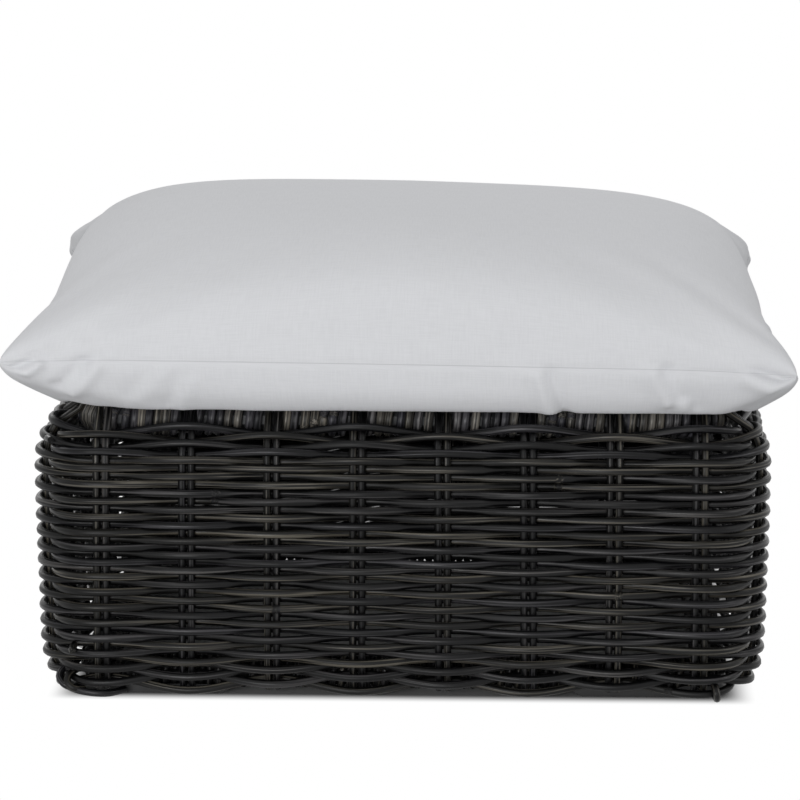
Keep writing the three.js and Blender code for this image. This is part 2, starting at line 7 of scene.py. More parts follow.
import bpy
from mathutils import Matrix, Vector


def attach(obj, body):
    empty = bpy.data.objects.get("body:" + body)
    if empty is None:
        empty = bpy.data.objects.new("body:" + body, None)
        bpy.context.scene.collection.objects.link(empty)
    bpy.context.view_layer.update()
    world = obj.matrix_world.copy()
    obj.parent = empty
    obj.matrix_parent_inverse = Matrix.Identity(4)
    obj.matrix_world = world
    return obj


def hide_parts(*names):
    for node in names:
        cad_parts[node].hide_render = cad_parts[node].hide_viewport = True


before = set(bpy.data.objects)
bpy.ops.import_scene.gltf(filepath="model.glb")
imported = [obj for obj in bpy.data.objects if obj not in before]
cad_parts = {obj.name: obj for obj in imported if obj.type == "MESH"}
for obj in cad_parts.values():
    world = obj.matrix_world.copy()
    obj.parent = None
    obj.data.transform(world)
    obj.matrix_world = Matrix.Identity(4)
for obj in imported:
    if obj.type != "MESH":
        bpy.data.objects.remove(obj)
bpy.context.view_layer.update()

MM = 0.001
SEED = 11
TURN = 2 * math.pi
UP = Vector((0, 0, 1))

# Weave

STRAND = 7.7 * MM
ROWS = 35
TOP_ROW = 263 * MM
LOW_ROW = 8 * MM
ROW_SPACING = (TOP_ROW - LOW_ROW) / (ROWS - 1)
WALL_HALF = 337.9 * MM
WALL_CORNER = 48 * MM
STAKES_PER_SIDE = 8
STAKE_END = 281.25 * MM
STAKE_PITCH = 2 * STAKE_END / (STAKES_PER_SIDE - 1)
WEAVE_SWING = 7.7 * MM
STEP_AFTER_STAKE = 5
WEAVE_SPACING = 8 * MM
WEAVE_WAVER = 1.7 * MM

# Wall profile: how far it tucks in at the top and at the bottom

TOP_TUCK = 14 * MM
TOP_TUCK_DROP = 37.5 * MM
LOW_TUCK = 13 * MM
LOW_TUCK_RISE = 56 * MM
TAPER = 5 * MM
TAPER_TOP = 195 * MM
PROFILE_TOP = 280 * MM

# How the rows settle: low at mid height, and with their inner passes dropped at the front and
# raised at the back, as a share of the swing

ROW_SAG = 3.0 * MM
SAG_CENTRE = 175 * MM
SAG_REACH = 72 * MM
FRONT_SETTLE = 0.09
BACK_SETTLE = -0.17
LOW_SMILE = -0.08
SMILE_TOP = 185 * MM
SMILE_REACH = 90 * MM

# Stakes and the strand wound on the rails

STAKE = 7.0 * MM
PAIR_SPACING = 8.5 * MM
STAKE_FOOT = 10 * MM
STAKE_STEP = 6 * MM
STAKE_BEND = TOP_ROW - 4 * MM
STAKE_LEAN = 2.0 * MM
STAKE_WAVER = 0.4 * MM
ANGLES_OVER_RAIL = (52, 68, 84, 100, 118, 138, 160, 182)
ANGLES_AT_CORNER = (20, 36)
WIND_STRAND = 8.2 * MM
WIND_RADIUS = 13.0 * MM
TOP_RAIL = 264 * MM
LOW_RAIL = 20.5 * MM
RAIL_HALF = 293.742 * MM
RAIL_CORNER = 34 * MM
WINDS_PER_BAY = 7
WIND_STEPS = 14
LOW_WIND_PITCH = 8.4 * MM
WIND_TILT = 1.6 * MM
WIND_WAVER = 0.7 * MM
WIND_CLEARANCE = 0.2 * MM
WIND_START = -0.65 * math.pi
WIND_TILT_START = 0.08

# Strands: how their thickness and place vary, and how far each runs before its tone changes. A
# wound strand's tone changes a little after each turn

WAVER_SCALE = 9.0
THINNEST = 0.965
THICKEST = 1.02
WEAVER_TONE_LENGTH = 2.3
STAKE_TONE_LENGTH = 1.0
WIND_TONE_LENGTH = 0.0862
STRAND_SEEDS = {"weavers_a": 3.7, "weavers_b": 8.7, "stakes": 1.3, "tied_ends": 8.4,
                "top_rail_winding": 2.1, "bottom_rail_winding": 6.2}

# Cushion

CUSHION_TIPS = {
    (-1, -1): Vector((-377.6, -378, 328)) * MM, (1, -1): Vector((374.4, -378, 319.5)) * MM,
    (-1, 1): Vector((-397.9, 374, 349.5)) * MM, (1, 1): Vector((362.8, 374, 342.2)) * MM}
LEFT_DRAW_IN = 33 * MM
RIGHT_DRAW_IN = 20 * MM
FRONT_DRAW_IN = 35 * MM
BACK_DRAW_IN = 31.5 * MM
SIDE_STRAIGHT = 0.5
FRONT_STRAIGHT = 0.66
CUSHION_TOP = 443.2 * MM
CUSHION_TILT = 7.9 * MM
CUSHION_BELLY = 80 * MM
BELLY_BULGE = 8 * MM
CUSHION_SEAM = 323.5 * MM
SEAM_TILT = 4.4 * MM
FLATNESS_ACROSS = 5.05
BACK_FLATNESS = 2.84
FRONT_FLATNESS = 3.5
FULLNESS = 0.365
FRONT_TAPER = 0.55
BACK_TAPER = 0.126
TAPER_POWER = 1.35
BELLY_FLATNESS = 6.0
BELLY_FULLNESS = 0.4
BELLY_TAPER = 0.5
BELLY_TAPER_POWER = 8
TIP_BLUNTNESS = 0.02
TIP_BLUNT_POWER = 14
TIP_TURN_POWER = 5
BULGE_POWER = 9
RIM_REACH = 312 * MM
HANG_REACH = 320 * MM
CUSHION_FLOOR = 281.9 * MM
CUSHION_HANG = 6.5 * MM
CUSHION_CELLS = 124
SPREAD_SAMPLES = 3000

# Cloth: how far the cover may move as it fills, and how it is held while it does

CLOTH_FRAMES = 20
CLOTH_PRESSURE = 4.0
CLOTH_GROWTH = 0.012
CLOTH_REACH = 6 * MM
INNER_REACH = 1.2 * MM
REACH_FROM = 25 * MM
REACH_TO = 95 * MM
CLOTH_SMOOTHING = 3
CLOTH_STIFFNESS = 6.0
CLOTH_QUALITY = 6
HELD_BY_SEAM = 9 * MM
HELD_BY_TIP = 70 * MM
TIP_HOLD = 1.4

# Folds pulled from the seam: (along, from the seam) of each end, then width and height, in mm.
# Below the seam counts as negative

FRONT_FOLDS = [
    (-352, -18, -340, -3, 6, 4.2), (-345, 14, -333, 2, 6, 1.8), (-311, -40, -288, -3, 7, 4.2),
    (-289, 34, -281, 12, 8, 1.2), (-249, -40, -228, -12, 7, 1.4), (-211, -50, -200, -18, 7, 1.8),
    (148, -56, 134, -8, 6, -4.2), (255, -34, 241, -3, 7, -4.8), (271, -46, 262, -8, 6, -2.0),
    (250, 26, 253, 3, 7, 1.5), (349, -20, 328, -3, 9, -5.0), (96, 40, 102, 8, 9, 1.0),
    (-60, 44, -66, 10, 10, -0.9)]
FOLD_FADE = 3
FOLD_ZONE = 60 * MM
SEAM_GROOVE = 0.8 * MM
SEAM_WIDTH = 1.6 * MM

# Loose folds on the other sides, in mm: how far along they lie, how near the seam they come,
# their length, lean, width and height, and one short fold beside each corner

FOLDS_PER_SIDE = 9
FOLD_SPAN = 335
NEAR_SEAM = 3
NEAR_ZIP = 16
FOLD_LENGTH = (15, 39)
FOLD_LEAN = 16
FOLD_WIDTH = (5, 8)
FOLD_HEIGHT = 2.4
CORNER_FOLD = (345, -16, 334, -2, 7, 1.6)

# Camera, from the photograph's perspective

CAMERA_LENS = 182.915
CAMERA_SENSOR = 36
CAMERA_RANGE = 50
CAMERA_TARGET = Vector((-0.012511, 0, 0.23303))
CAMERA_DISTANCE = 4.130985
CAMERA_ELEVATION = math.radians(9.528)
CAMERA_AZIMUTH = math.radians(2.146)


def linear(code, alpha=1.0):
    """An sRGB hex colour as linear red, green, blue and alpha."""
    parts = [int(code[i:i + 2], 16) / 255 for i in (0, 2, 4)]
    parts = [c / 12.92 if c <= 0.04045 else ((c + 0.055) / 1.055) ** 2.4 for c in parts]
    return (*parts, alpha)


def mix(start, end, share):
    """The value at a share of the way from a start to an end."""
    return start + (end - start) * share


def clamped(share):
    """A share kept between nought and one."""
    return min(1.0, max(0.0, share))


def add(tree, kind, inputs=None, **settings):
    """Adds a node, gives it its settings, and sets or links its inputs by name or number. A
    node given for an input is linked from its first output."""
    node = tree.nodes.new(kind)
    for name, value in settings.items():
        setattr(node, name, value)
    for name, value in (inputs or {}).items():
        socket = node.inputs[name]
        if isinstance(value, bpy.types.Node):
            value = value.outputs[0]
        if isinstance(value, bpy.types.NodeSocket):
            tree.links.new(value, socket)
        else:
            socket.default_value = value
    return node


def put_in_scene(name, data):
    """A new object that shows its data, linked to the scene."""
    thing = bpy.data.objects.new(name, data)
    bpy.context.scene.collection.objects.link(thing)
    return thing


def made_plain(thing, modifier):
    """Gives an object, as a plain mesh, what its modifier makes, and removes the modifier."""
    graph = bpy.context.evaluated_depsgraph_get()
    mesh = bpy.data.meshes.new_from_object(
        thing.evaluated_get(graph), preserve_all_data_layers=True, depsgraph=graph)
    thing.modifiers.remove(modifier)
    thing.data = mesh
    mesh.name = thing.name
    return mesh


def store(mesh, **fields):
    """Keeps under each name one number or vector for each point of a mesh in turn."""
    for field, values in fields.items():
        is_vector = hasattr(values[0], "__len__")
        layer = mesh.attributes.new(field, "FLOAT_VECTOR" if is_vector else "FLOAT", "POINT")
        flat = [part for value in values for part in value] if is_vector else values
        layer.data.foreach_set("vector" if is_vector else "value", flat)


# Materials


def new_material(name):
    """An empty node material and its node tree."""
    material = bpy.data.materials.new(name)
    material.use_nodes = True
    material.node_tree.nodes.clear()
    return material, material.node_tree


def ramp(tree, factor, stops):
    """A colour ramp whose stops are (place, sRGB hex) pairs."""
    node = add(tree, "ShaderNodeValToRGB", {0: factor})
    elements = node.color_ramp.elements
    while len(elements) < len(stops):
        elements.new(1.0)
    for element, (place, code) in zip(elements, stops):
        element.position = place
        element.color = linear(code)
    return node


# A strand's pattern: how far it runs in a metre of strand, against one across the strand's
# radius, and how far apart in it two strands lie. Then the scale, detail and roughness of ribs
# and of hairlines, and the casts that the strands differ by

STREAK_RUN = 4.0
STRANDS_APART = 40.0
RIBS = (2.0, 1.0, 0.5)
HAIRLINES = (5.5, 2.0, 0.6)
HAIRLINE_SHARE = 0.2
STRAND_CASTS = [
    (0.0, "f8f4ea"), (0.14, "b4b4be"), (0.3, "dcd8d0"), (0.42, "a9aab8"), (0.56, "d2d1d6"),
    (0.7, "9a9aa2"), (0.84, "f4eee0")]


def strand_material(name, stops):
    """Extruded polyethylene strand, drawn through a ribbed die in several close charcoals: satin
    ribs and dark hairlines run along it, and each strand has its own cast."""
    material, tree = new_material(name)
    along = add(tree, "ShaderNodeAttribute", attribute_name="along").outputs["Fac"]
    around = add(tree, "ShaderNodeAttribute", attribute_name="around").outputs["Vector"]
    tone = add(tree, "ShaderNodeAttribute", attribute_name="tone").outputs["Fac"]
    position = add(tree, "ShaderNodeSeparateXYZ", {0: around})
    streak_run = add(tree, "ShaderNodeMath", {0: along, 1: STREAK_RUN}, operation="MULTIPLY")
    streak_place = add(tree, "ShaderNodeCombineXYZ", {
        "X": streak_run, "Y": position.outputs["X"], "Z": position.outputs["Y"]})
    strand_number = add(tree, "ShaderNodeMath", {0: tone, 1: STRANDS_APART}, operation="MULTIPLY")
    lines = []
    for scale, detail, unevenness in (RIBS, HAIRLINES):
        line = add(tree, "ShaderNodeTexNoise", {
            "Vector": streak_place, "W": strand_number, "Scale": scale, "Detail": detail,
            "Roughness": unevenness}, noise_dimensions="4D")
        lines.append(line.outputs["Fac"])
    streak = add(tree, "ShaderNodeMix", {0: HAIRLINE_SHARE, 2: lines[0], 3: lines[1]})
    streak_colour = ramp(tree, streak, stops)
    cast = ramp(tree, tone, STRAND_CASTS)
    cast.color_ramp.interpolation = "CONSTANT"
    coloured = add(tree, "ShaderNodeMix", {
        0: 1.0, 6: streak_colour, 7: cast}, data_type="RGBA", blend_type="MULTIPLY")
    roughness = add(tree, "ShaderNodeMapRange", {
        "Value": streak, "From Min": 0.4, "From Max": 0.62, "To Min": 0.46, "To Max": 0.26})
    bump = add(tree, "ShaderNodeBump", {"Height": streak, "Strength": 0.7, "Distance": 1.0 * MM})
    shader = add(tree, "ShaderNodeBsdfPrincipled", {
        "Base Color": coloured.outputs[2], "Roughness": roughness, "Normal": bump, "IOR": 1.5,
        "Specular IOR Level": 0.2})
    add(tree, "ShaderNodeOutputMaterial", {"Surface": shader})
    return material


# How many grains lie in a metre: pebbles 0.7 mm apart, a mould's grain 1.1 mm, scuffs 17 mm and
# zinc's mottle 1.4 mm. Pebbles and mould grain are coarser than real ones, so that they show

PEBBLES = 1400.0
MOULD_GRAINS = 900.0
SCUFFS = 60.0
MOTTLES = 700.0


def powder_coat_material():
    """Charcoal powder coat on aluminium: baked, finely pebbled and dull."""
    material, tree = new_material("charcoal_powder_coat")
    place = add(tree, "ShaderNodeTexCoord").outputs["Object"]
    pebble = add(tree, "ShaderNodeTexNoise", {"Vector": place, "Scale": PEBBLES, "Detail": 2.0})
    tint = ramp(tree, pebble.outputs["Fac"], [(0.35, "26272a"), (0.65, "323335")])
    bump = add(tree, "ShaderNodeBump", {
        "Height": pebble.outputs["Fac"], "Strength": 0.3, "Distance": 0.1 * MM})
    shader = add(tree, "ShaderNodeBsdfPrincipled", {
        "Base Color": tint, "Roughness": 0.58, "Normal": bump})
    add(tree, "ShaderNodeOutputMaterial", {"Surface": shader})
    return material


def glide_material():
    """Moulded black polypropylene: matt from a spark-eroded mould, scuffed paler in patches."""
    material, tree = new_material("moulded_black_polypropylene")
    place = add(tree, "ShaderNodeTexCoord").outputs["Object"]
    grain = add(tree, "ShaderNodeTexNoise", {"Vector": place, "Scale": MOULD_GRAINS, "Detail": 3.0})
    scuffs = add(tree, "ShaderNodeTexNoise", {"Vector": place, "Scale": SCUFFS, "Detail": 5.0})
    tint = ramp(tree, scuffs.outputs["Fac"], [(0.45, "0c0c0d"), (0.75, "1d1d1e")])
    bump = add(tree, "ShaderNodeBump", {
        "Height": grain.outputs["Fac"], "Strength": 0.3, "Distance": 0.1 * MM})
    shader = add(tree, "ShaderNodeBsdfPrincipled", {
        "Base Color": tint, "Roughness": 0.6, "Normal": bump})
    add(tree, "ShaderNodeOutputMaterial", {"Surface": shader})
    return material


def zinc_material():
    """Bright zinc plate on steel: a pale blue-grey metal with a fine mottle."""
    material, tree = new_material("zinc_plated_steel")
    place = add(tree, "ShaderNodeTexCoord").outputs["Object"]
    mottle = add(tree, "ShaderNodeTexNoise", {"Vector": place, "Scale": MOTTLES, "Detail": 4.0})
    tint = ramp(tree, mottle.outputs["Fac"], [(0.3, "a9acb0"), (0.7, "c6c8ca")])
    rough = add(tree, "ShaderNodeMapRange", {
        "Value": mottle.outputs["Fac"], "To Min": 0.25, "To Max": 0.45})
    shader = add(tree, "ShaderNodeBsdfPrincipled", {
        "Base Color": tint, "Roughness": rough, "Metallic": 1.0})
    add(tree, "ShaderNodeOutputMaterial", {"Surface": shader})
    return material


THREAD_SPACING = 1.3 * MM
SLUB_LENGTH = 22 * MM


def canvas_material(name, light, dark, seam):
    """Solution-dyed acrylic canvas in a plain weave: matt, with slubs in both threads and a
    faint nap. The threads are drawn about twice as coarse as real ones, so that they show, and
    a fine darker line is painted where two panels meet: painted shade in the seam's groove."""
    material, tree = new_material(name)
    cloth = add(tree, "ShaderNodeAttribute", attribute_name="cloth").outputs["Vector"]
    gap = add(tree, "ShaderNodeAttribute", attribute_name="seam_gap").outputs["Fac"]
    threads = []
    for spacing_x, spacing_y in ((THREAD_SPACING, SLUB_LENGTH), (SLUB_LENGTH, THREAD_SPACING)):
        stretched = add(tree, "ShaderNodeVectorMath", {
            0: cloth, 1: (1 / spacing_x, 1 / spacing_y, 1.0)}, operation="MULTIPLY")
        thread = add(tree, "ShaderNodeTexNoise", {
            "Vector": stretched, "Scale": 1.0, "Detail": 1.5, "Roughness": 0.5})
        threads.append(thread.outputs["Fac"])
    crossed = add(tree, "ShaderNodeMath", {0: threads[0], 1: threads[1]}, operation="ADD")
    weave = add(tree, "ShaderNodeMath", {0: crossed, 1: 0.5}, operation="MULTIPLY")
    tint = ramp(tree, weave, [(0.36, dark), (0.6, light)])
    away = add(tree, "ShaderNodeMath", {0: gap}, operation="ABSOLUTE")
    line = add(tree, "ShaderNodeMapRange", {
        "Value": away, "From Min": 0.1 * MM, "From Max": 0.7 * MM})
    # Near the seam the canvas is mixed to a darker grey: painted shade where the groove between the
    # panels lies
    painted_seam_shade = add(tree, "ShaderNodeMix", {0: line, 6: linear(seam), 7: tint}, data_type="RGBA")
    bump = add(tree, "ShaderNodeBump", {"Height": weave, "Strength": 0.15, "Distance": 0.3 * MM})
    shader = add(tree, "ShaderNodeBsdfPrincipled", {
        "Base Color": painted_seam_shade.outputs[2], "Roughness": 0.95, "Sheen Weight": 0.15,
        "Sheen Roughness": 0.6, "Specular IOR Level": 0.2, "Normal": bump})
    add(tree, "ShaderNodeOutputMaterial", {"Surface": shader})
    return material


def zip_tape_material():
    """Woven polyester zip tape: a fine twill, a shade greyer than the canvas."""
    material, tree = new_material("woven_polyester_tape")
    place = add(tree, "ShaderNodeTexCoord").outputs["Object"]
    twill = add(tree, "ShaderNodeTexWave", {
        "Vector": place, "Scale": 0.5 / THREAD_SPACING / math.pi, "Distortion": 0.4},
        wave_type="BANDS", bands_direction="DIAGONAL")
    tint = ramp(tree, twill.outputs["Fac"], [(0.2, "bcbdc0"), (0.8, "cdced0")])
    bump = add(tree, "ShaderNodeBump", {
        "Height": twill.outputs["Fac"], "Strength": 0.3, "Distance": 0.15 * MM})
    shader = add(tree, "ShaderNodeBsdfPrincipled", {
        "Base Color": tint, "Roughness": 0.8, "Normal": bump})
    add(tree, "ShaderNodeOutputMaterial", {"Surface": shader})
    return material


STRAND_LOOK = strand_material("extruded_polyethylene_strand", [
    (0.4, "030303"), (0.47, "0c0c0d"), (0.54, "1e1e1e"), (0.62, "605e5a")])
# The top rail's winding is the same strand as the rest, given a lighter copy of its colours:
# painted light on the wraps
LIGHTER_PAINTED_WINDING_LOOK = strand_material("polyethylene_strand_painted_lighter", [
    (0.38, "242425"), (0.45, "3f3f40"), (0.52, "5b5a5a"), (0.62, "8c8a88")])
COAT_LOOK = powder_coat_material()
GLIDE_LOOK = glide_material()
ZINC_LOOK = zinc_material()
# The third colour, c2c3c6, is painted shade along the seam's groove
CANVAS_LOOK = canvas_material("woven_acrylic_canvas", "dbdcdf", "d6d7da", "c2c3c6")
TAPE_LOOK = zip_tape_material()


# Lines and the node trees that grow strands on them


def line_mesh(name, lines, **fields):
    """A mesh of open lines. Each field holds one number or vector for each point in turn."""
    mesh = bpy.data.meshes.new(name)
    edges = []
    start = 0
    for line in lines:
        edges += [(start + i, start + i + 1) for i in range(len(line) - 1)]
        start += len(line)
    mesh.from_pydata([point for line in lines for point in line], edges, [])
    store(mesh, **fields)
    return mesh


SOCKETS = {float: "NodeSocketFloat", int: "NodeSocketInt", type(None): "NodeSocketMaterial"}


def new_tree(name, **sizes):
    """A geometry node tree with a geometry input and output and one named input a size, and
    the sockets that give these inputs. A size of None is a material."""
    tree = bpy.data.node_groups.new(name, "GeometryNodeTree")
    tree.interface.new_socket("Geometry", in_out="INPUT", socket_type="NodeSocketGeometry")
    tree.interface.new_socket("Geometry", in_out="OUTPUT", socket_type="NodeSocketGeometry")
    for size, value in sizes.items():
        kind = SOCKETS[type(value)]
        socket = tree.interface.new_socket(size, in_out="INPUT", socket_type=kind)
        if value is not None:
            socket.default_value = value
    return tree, add(tree, "NodeGroupInput").outputs


def strand_tree():
    """Sweeps a round strand along each line: it wavers a little, its thickness varies, and it
    keeps how far along and around it each point lies, and its tone."""
    tree, size = new_tree(
        "strand", Diameter=STRAND, Sides=10, Waver=STAKE_WAVER, Along=0.0,
        Tone_Length=WEAVER_TONE_LENGTH, Seed=0.0, Material=None)
    stored_along = add(tree, "GeometryNodeStoreNamedAttribute", {
        "Geometry": size["Geometry"], "Name": "along", "Value": size["Along"]},
        data_type="FLOAT", domain="POINT")
    along = add(tree, "GeometryNodeInputNamedAttribute", {"Name": "along"}, data_type="FLOAT")
    along = along.outputs["Attribute"]
    lengths = add(tree, "ShaderNodeMath", {0: along, 1: size["Tone_Length"]}, operation="DIVIDE")
    whole = add(tree, "ShaderNodeMath", {0: lengths}, operation="FLOOR")
    tone_place = add(tree, "ShaderNodeCombineXYZ", {"X": whole, "Y": size["Seed"]})
    tone = add(tree, "ShaderNodeTexWhiteNoise", {"Vector": tone_place})
    stored_tone = add(tree, "GeometryNodeStoreNamedAttribute", {
        "Geometry": stored_along, "Name": "tone", "Value": tone.outputs["Value"]},
        data_type="FLOAT", domain="POINT")
    waver_place = add(tree, "ShaderNodeCombineXYZ", {"X": along, "Y": size["Seed"]})
    waver = add(tree, "ShaderNodeTexNoise", {
        "Vector": waver_place, "Scale": WAVER_SCALE, "Detail": 2.0})
    centred = add(tree, "ShaderNodeVectorMath", {
        0: waver.outputs["Color"], 1: (0.5, 0.5, 0.5)}, operation="SUBTRACT")
    shift = add(tree, "ShaderNodeVectorMath", {
        0: centred, "Scale": size["Waver"]}, operation="SCALE")
    wavering = add(tree, "GeometryNodeSetPosition", {"Geometry": stored_tone, "Offset": shift})
    thickness = add(tree, "ShaderNodeMapRange", {
        "Value": waver.outputs["Fac"], "From Min": 0.3, "From Max": 0.7,
        "To Min": THINNEST, "To Max": THICKEST})
    sized = add(tree, "GeometryNodeSetCurveRadius", {"Curve": wavering, "Radius": thickness})
    radius = add(tree, "ShaderNodeMath", {0: size["Diameter"], 1: 0.5}, operation="MULTIPLY")
    circle = add(tree, "GeometryNodeCurvePrimitiveCircle", {
        "Resolution": size["Sides"], "Radius": radius})
    place = add(tree, "GeometryNodeInputPosition")
    unit = add(tree, "ShaderNodeVectorMath", {0: place}, operation="NORMALIZE")
    section = add(tree, "GeometryNodeStoreNamedAttribute", {
        "Geometry": circle, "Name": "around", "Value": unit}, data_type="FLOAT_VECTOR",
        domain="POINT")
    swept = add(tree, "GeometryNodeCurveToMesh", {
        "Curve": sized, "Profile Curve": section, "Fill Caps": True})
    smooth = add(tree, "GeometryNodeSetShadeSmooth", {"Geometry": swept})
    real = add(tree, "GeometryNodeRealizeInstances", {"Geometry": smooth})
    finished = add(tree, "GeometryNodeSetMaterial", {
        "Geometry": real, "Material": size["Material"]})
    add(tree, "NodeGroupOutput", {"Geometry": finished})
    return tree


STRAND_TREE = strand_tree()


def tree_on_lines(name, stored, **sizes):
    """Begins a tree that works on a carrier's lines: gives it, its inputs, what is stored at
    the lines' points, and the lines as curves."""
    tree, size = new_tree(name, **sizes)
    fields = {}
    for label in stored:
        kind = "FLOAT_VECTOR" if label == "outward" else "FLOAT"
        field = add(tree, "GeometryNodeInputNamedAttribute", {"Name": label}, data_type=kind)
        fields[label] = field.outputs["Attribute"]
    return tree, size, fields, add(tree, "GeometryNodeMeshToCurve", {"Mesh": size["Geometry"]})


def end_with_strand(tree, size, lines, along, tone_length):
    """Ends a tree with the strand swept along its lines, at the sizes that the tree is given."""
    same = {name: size[name] for name in ("Diameter", "Sides", "Waver", "Seed", "Material")}
    strand = add(tree, "GeometryNodeGroup", {
        "Geometry": lines, "Along": along, "Tone_Length": tone_length, **same},
        node_tree=STRAND_TREE)
    add(tree, "NodeGroupOutput", {"Geometry": strand})
    return tree


def tuck_at(height):
    """How far the wall tucks in at a height: in a curve at the rim, and a slower one below."""
    top = max(0.0, (height - TOP_ROW + TOP_TUCK_DROP) / TOP_TUCK_DROP)
    low = max(0.0, (LOW_ROW + LOW_TUCK_RISE - height) / LOW_TUCK_RISE)
    taper = max(0.0, (TAPER_TOP - height) / TAPER_TOP)
    return TOP_TUCK * top ** 2 + LOW_TUCK * low ** 3 + TAPER * taper


def rise_at(height):
    """How far the wall's lean drops a weaver's inner passes, as a share of its swing."""
    slope = (tuck_at(height + MM) - tuck_at(height - MM)) / (2 * MM)
    return slope / math.hypot(1, slope)


def smile_at(height):
    """How far the front's lower rows have slid down where they pass outside a stake, as a
    share of the swing."""
    slid = clamped((SMILE_TOP - height) / SMILE_REACH)
    return LOW_SMILE * slid * slid * (3 - 2 * slid)


def sag_at(height):
    """How far a row has settled from its even place."""
    past = min(1.0, abs(height - SAG_CENTRE) / SAG_REACH)
    return ROW_SAG * math.cos(past * TURN / 4) ** 2


PROFILE_SAMPLES = 24
TUCK_RANGE = 40 * MM
RISE_RANGE = 2.0
SAG_RANGE = 10 * MM


def profile_curve(tree, factor, value_at):
    """A float curve that repeats a function of height, from the floor to the profile's top."""
    node = add(tree, "ShaderNodeFloatCurve", {"Value": factor})
    curve = node.mapping.curves[0]
    node.mapping.use_clip = False
    for i in range(1, PROFILE_SAMPLES):
        share = i / PROFILE_SAMPLES
        curve.points.new(share, value_at(share * PROFILE_TOP))
    curve.points[0].location = (0, value_at(0))
    curve.points[PROFILE_SAMPLES].location = (1, value_at(PROFILE_TOP))
    node.mapping.update()
    return node


WEAVE_FIELDS = ("outward", "swing", "step", "run", "settle", "lean_share", "front_share")
TURN_END = 0.999


def weave_tree():
    """Repeats one woven turn at every second row, each turn dropping to the next at its end,
    and sweeps the strand along them all."""
    tree, size, fields, curve = tree_on_lines(
        "weave", WEAVE_FIELDS, Turns=ROWS // 2, First_Height=TOP_ROW, Row_Spacing=ROW_SPACING,
        Turn_Length=0.0, Swing=WEAVE_SWING, Diameter=STRAND, Sides=10, Waver=WEAVE_WAVER,
        Seed=0.0, Material=None)
    turns = add(tree, "GeometryNodeDuplicateElements", {
        "Geometry": curve, "Amount": size["Turns"]}, domain="SPLINE")
    index = turns.outputs["Duplicate Index"]
    turns_down = add(tree, "ShaderNodeMath", {0: index, 1: fields["step"]}, operation="ADD")
    rows_down = add(tree, "ShaderNodeMath", {0: turns_down, 1: 2.0}, operation="MULTIPLY")
    drop = add(tree, "ShaderNodeMath", {
        0: rows_down, 1: size["Row_Spacing"]}, operation="MULTIPLY")
    height = add(tree, "ShaderNodeMath", {0: size["First_Height"], 1: drop}, operation="SUBTRACT")
    height_share = add(tree, "ShaderNodeMath", {0: height, 1: PROFILE_TOP}, operation="DIVIDE")
    tuck_share = profile_curve(tree, height_share, lambda z: tuck_at(z) / TUCK_RANGE)
    tuck = add(tree, "ShaderNodeMath", {0: tuck_share, 1: -TUCK_RANGE}, operation="MULTIPLY")
    shifts = []
    for shift_at in (rise_at, smile_at):
        share = profile_curve(tree, height_share, lambda z: 0.5 + shift_at(z) / RISE_RANGE)
        shifts.append(add(tree, "ShaderNodeMapRange", {
            "Value": share, "To Min": -RISE_RANGE / 2, "To Max": RISE_RANGE / 2}))
    lean, smile = shifts
    slid = add(tree, "ShaderNodeMath", {
        0: smile, 1: fields["front_share"], 2: fields["settle"]}, operation="MULTIPLY_ADD")
    rise = add(tree, "ShaderNodeMath", {
        0: lean, 1: fields["lean_share"], 2: slid}, operation="MULTIPLY_ADD")
    inward = add(tree, "ShaderNodeMath", {
        0: fields["swing"], 1: size["Swing"]}, operation="SUBTRACT")
    sag_share = profile_curve(tree, height_share, lambda z: sag_at(z) / SAG_RANGE)
    settled = add(tree, "ShaderNodeMath", {
        0: sag_share, 1: -SAG_RANGE, 2: height}, operation="MULTIPLY_ADD")
    sunk = add(tree, "ShaderNodeMath", {
        0: inward, 1: rise, 2: settled}, operation="MULTIPLY_ADD")
    out = add(tree, "ShaderNodeMath", {0: fields["swing"], 1: tuck}, operation="ADD")
    across = add(tree, "ShaderNodeVectorMath", {
        0: fields["outward"], "Scale": out}, operation="SCALE")
    lifted = add(tree, "ShaderNodeCombineXYZ", {"Z": sunk})
    offset = add(tree, "ShaderNodeVectorMath", {0: across, 1: lifted}, operation="ADD")
    placed = add(tree, "GeometryNodeSetPosition", {"Geometry": turns, "Offset": offset})
    last_turn = add(tree, "ShaderNodeMath", {0: size["Turns"], 1: TURN_END}, operation="SUBTRACT")
    past_end = add(tree, "ShaderNodeMath", {
        0: turns_down, 1: last_turn}, operation="GREATER_THAN")
    ended = add(tree, "GeometryNodeDeleteGeometry", {
        "Geometry": placed, "Selection": past_end}, domain="POINT")
    earlier = add(tree, "ShaderNodeMath", {
        0: index, 1: size["Turn_Length"]}, operation="MULTIPLY")
    along = add(tree, "ShaderNodeMath", {0: earlier, 1: fields["run"]}, operation="ADD")
    return end_with_strand(tree, size, ended, along, WEAVER_TONE_LENGTH)


def wound_tree():
    """Winds a strand round a rail: each point of the line turns about it by its own angle."""
    tree, size, fields, curve = tree_on_lines(
        "winding", ("outward", "angle", "run"), Wind_Radius=WIND_RADIUS, Diameter=WIND_STRAND,
        Sides=8, Waver=WIND_WAVER, Seed=0.0, Material=None)
    cosine = add(tree, "ShaderNodeMath", {0: fields["angle"]}, operation="COSINE")
    sine = add(tree, "ShaderNodeMath", {0: fields["angle"]}, operation="SINE")
    sideways = add(tree, "ShaderNodeVectorMath", {
        0: fields["outward"], "Scale": cosine}, operation="SCALE")
    upward = add(tree, "ShaderNodeCombineXYZ", {"Z": sine})
    direction = add(tree, "ShaderNodeVectorMath", {0: sideways, 1: upward}, operation="ADD")
    offset = add(tree, "ShaderNodeVectorMath", {
        0: direction, "Scale": size["Wind_Radius"]}, operation="SCALE")
    placed = add(tree, "GeometryNodeSetPosition", {"Geometry": curve, "Offset": offset})
    return end_with_strand(tree, size, placed, fields["run"], WIND_TONE_LENGTH)


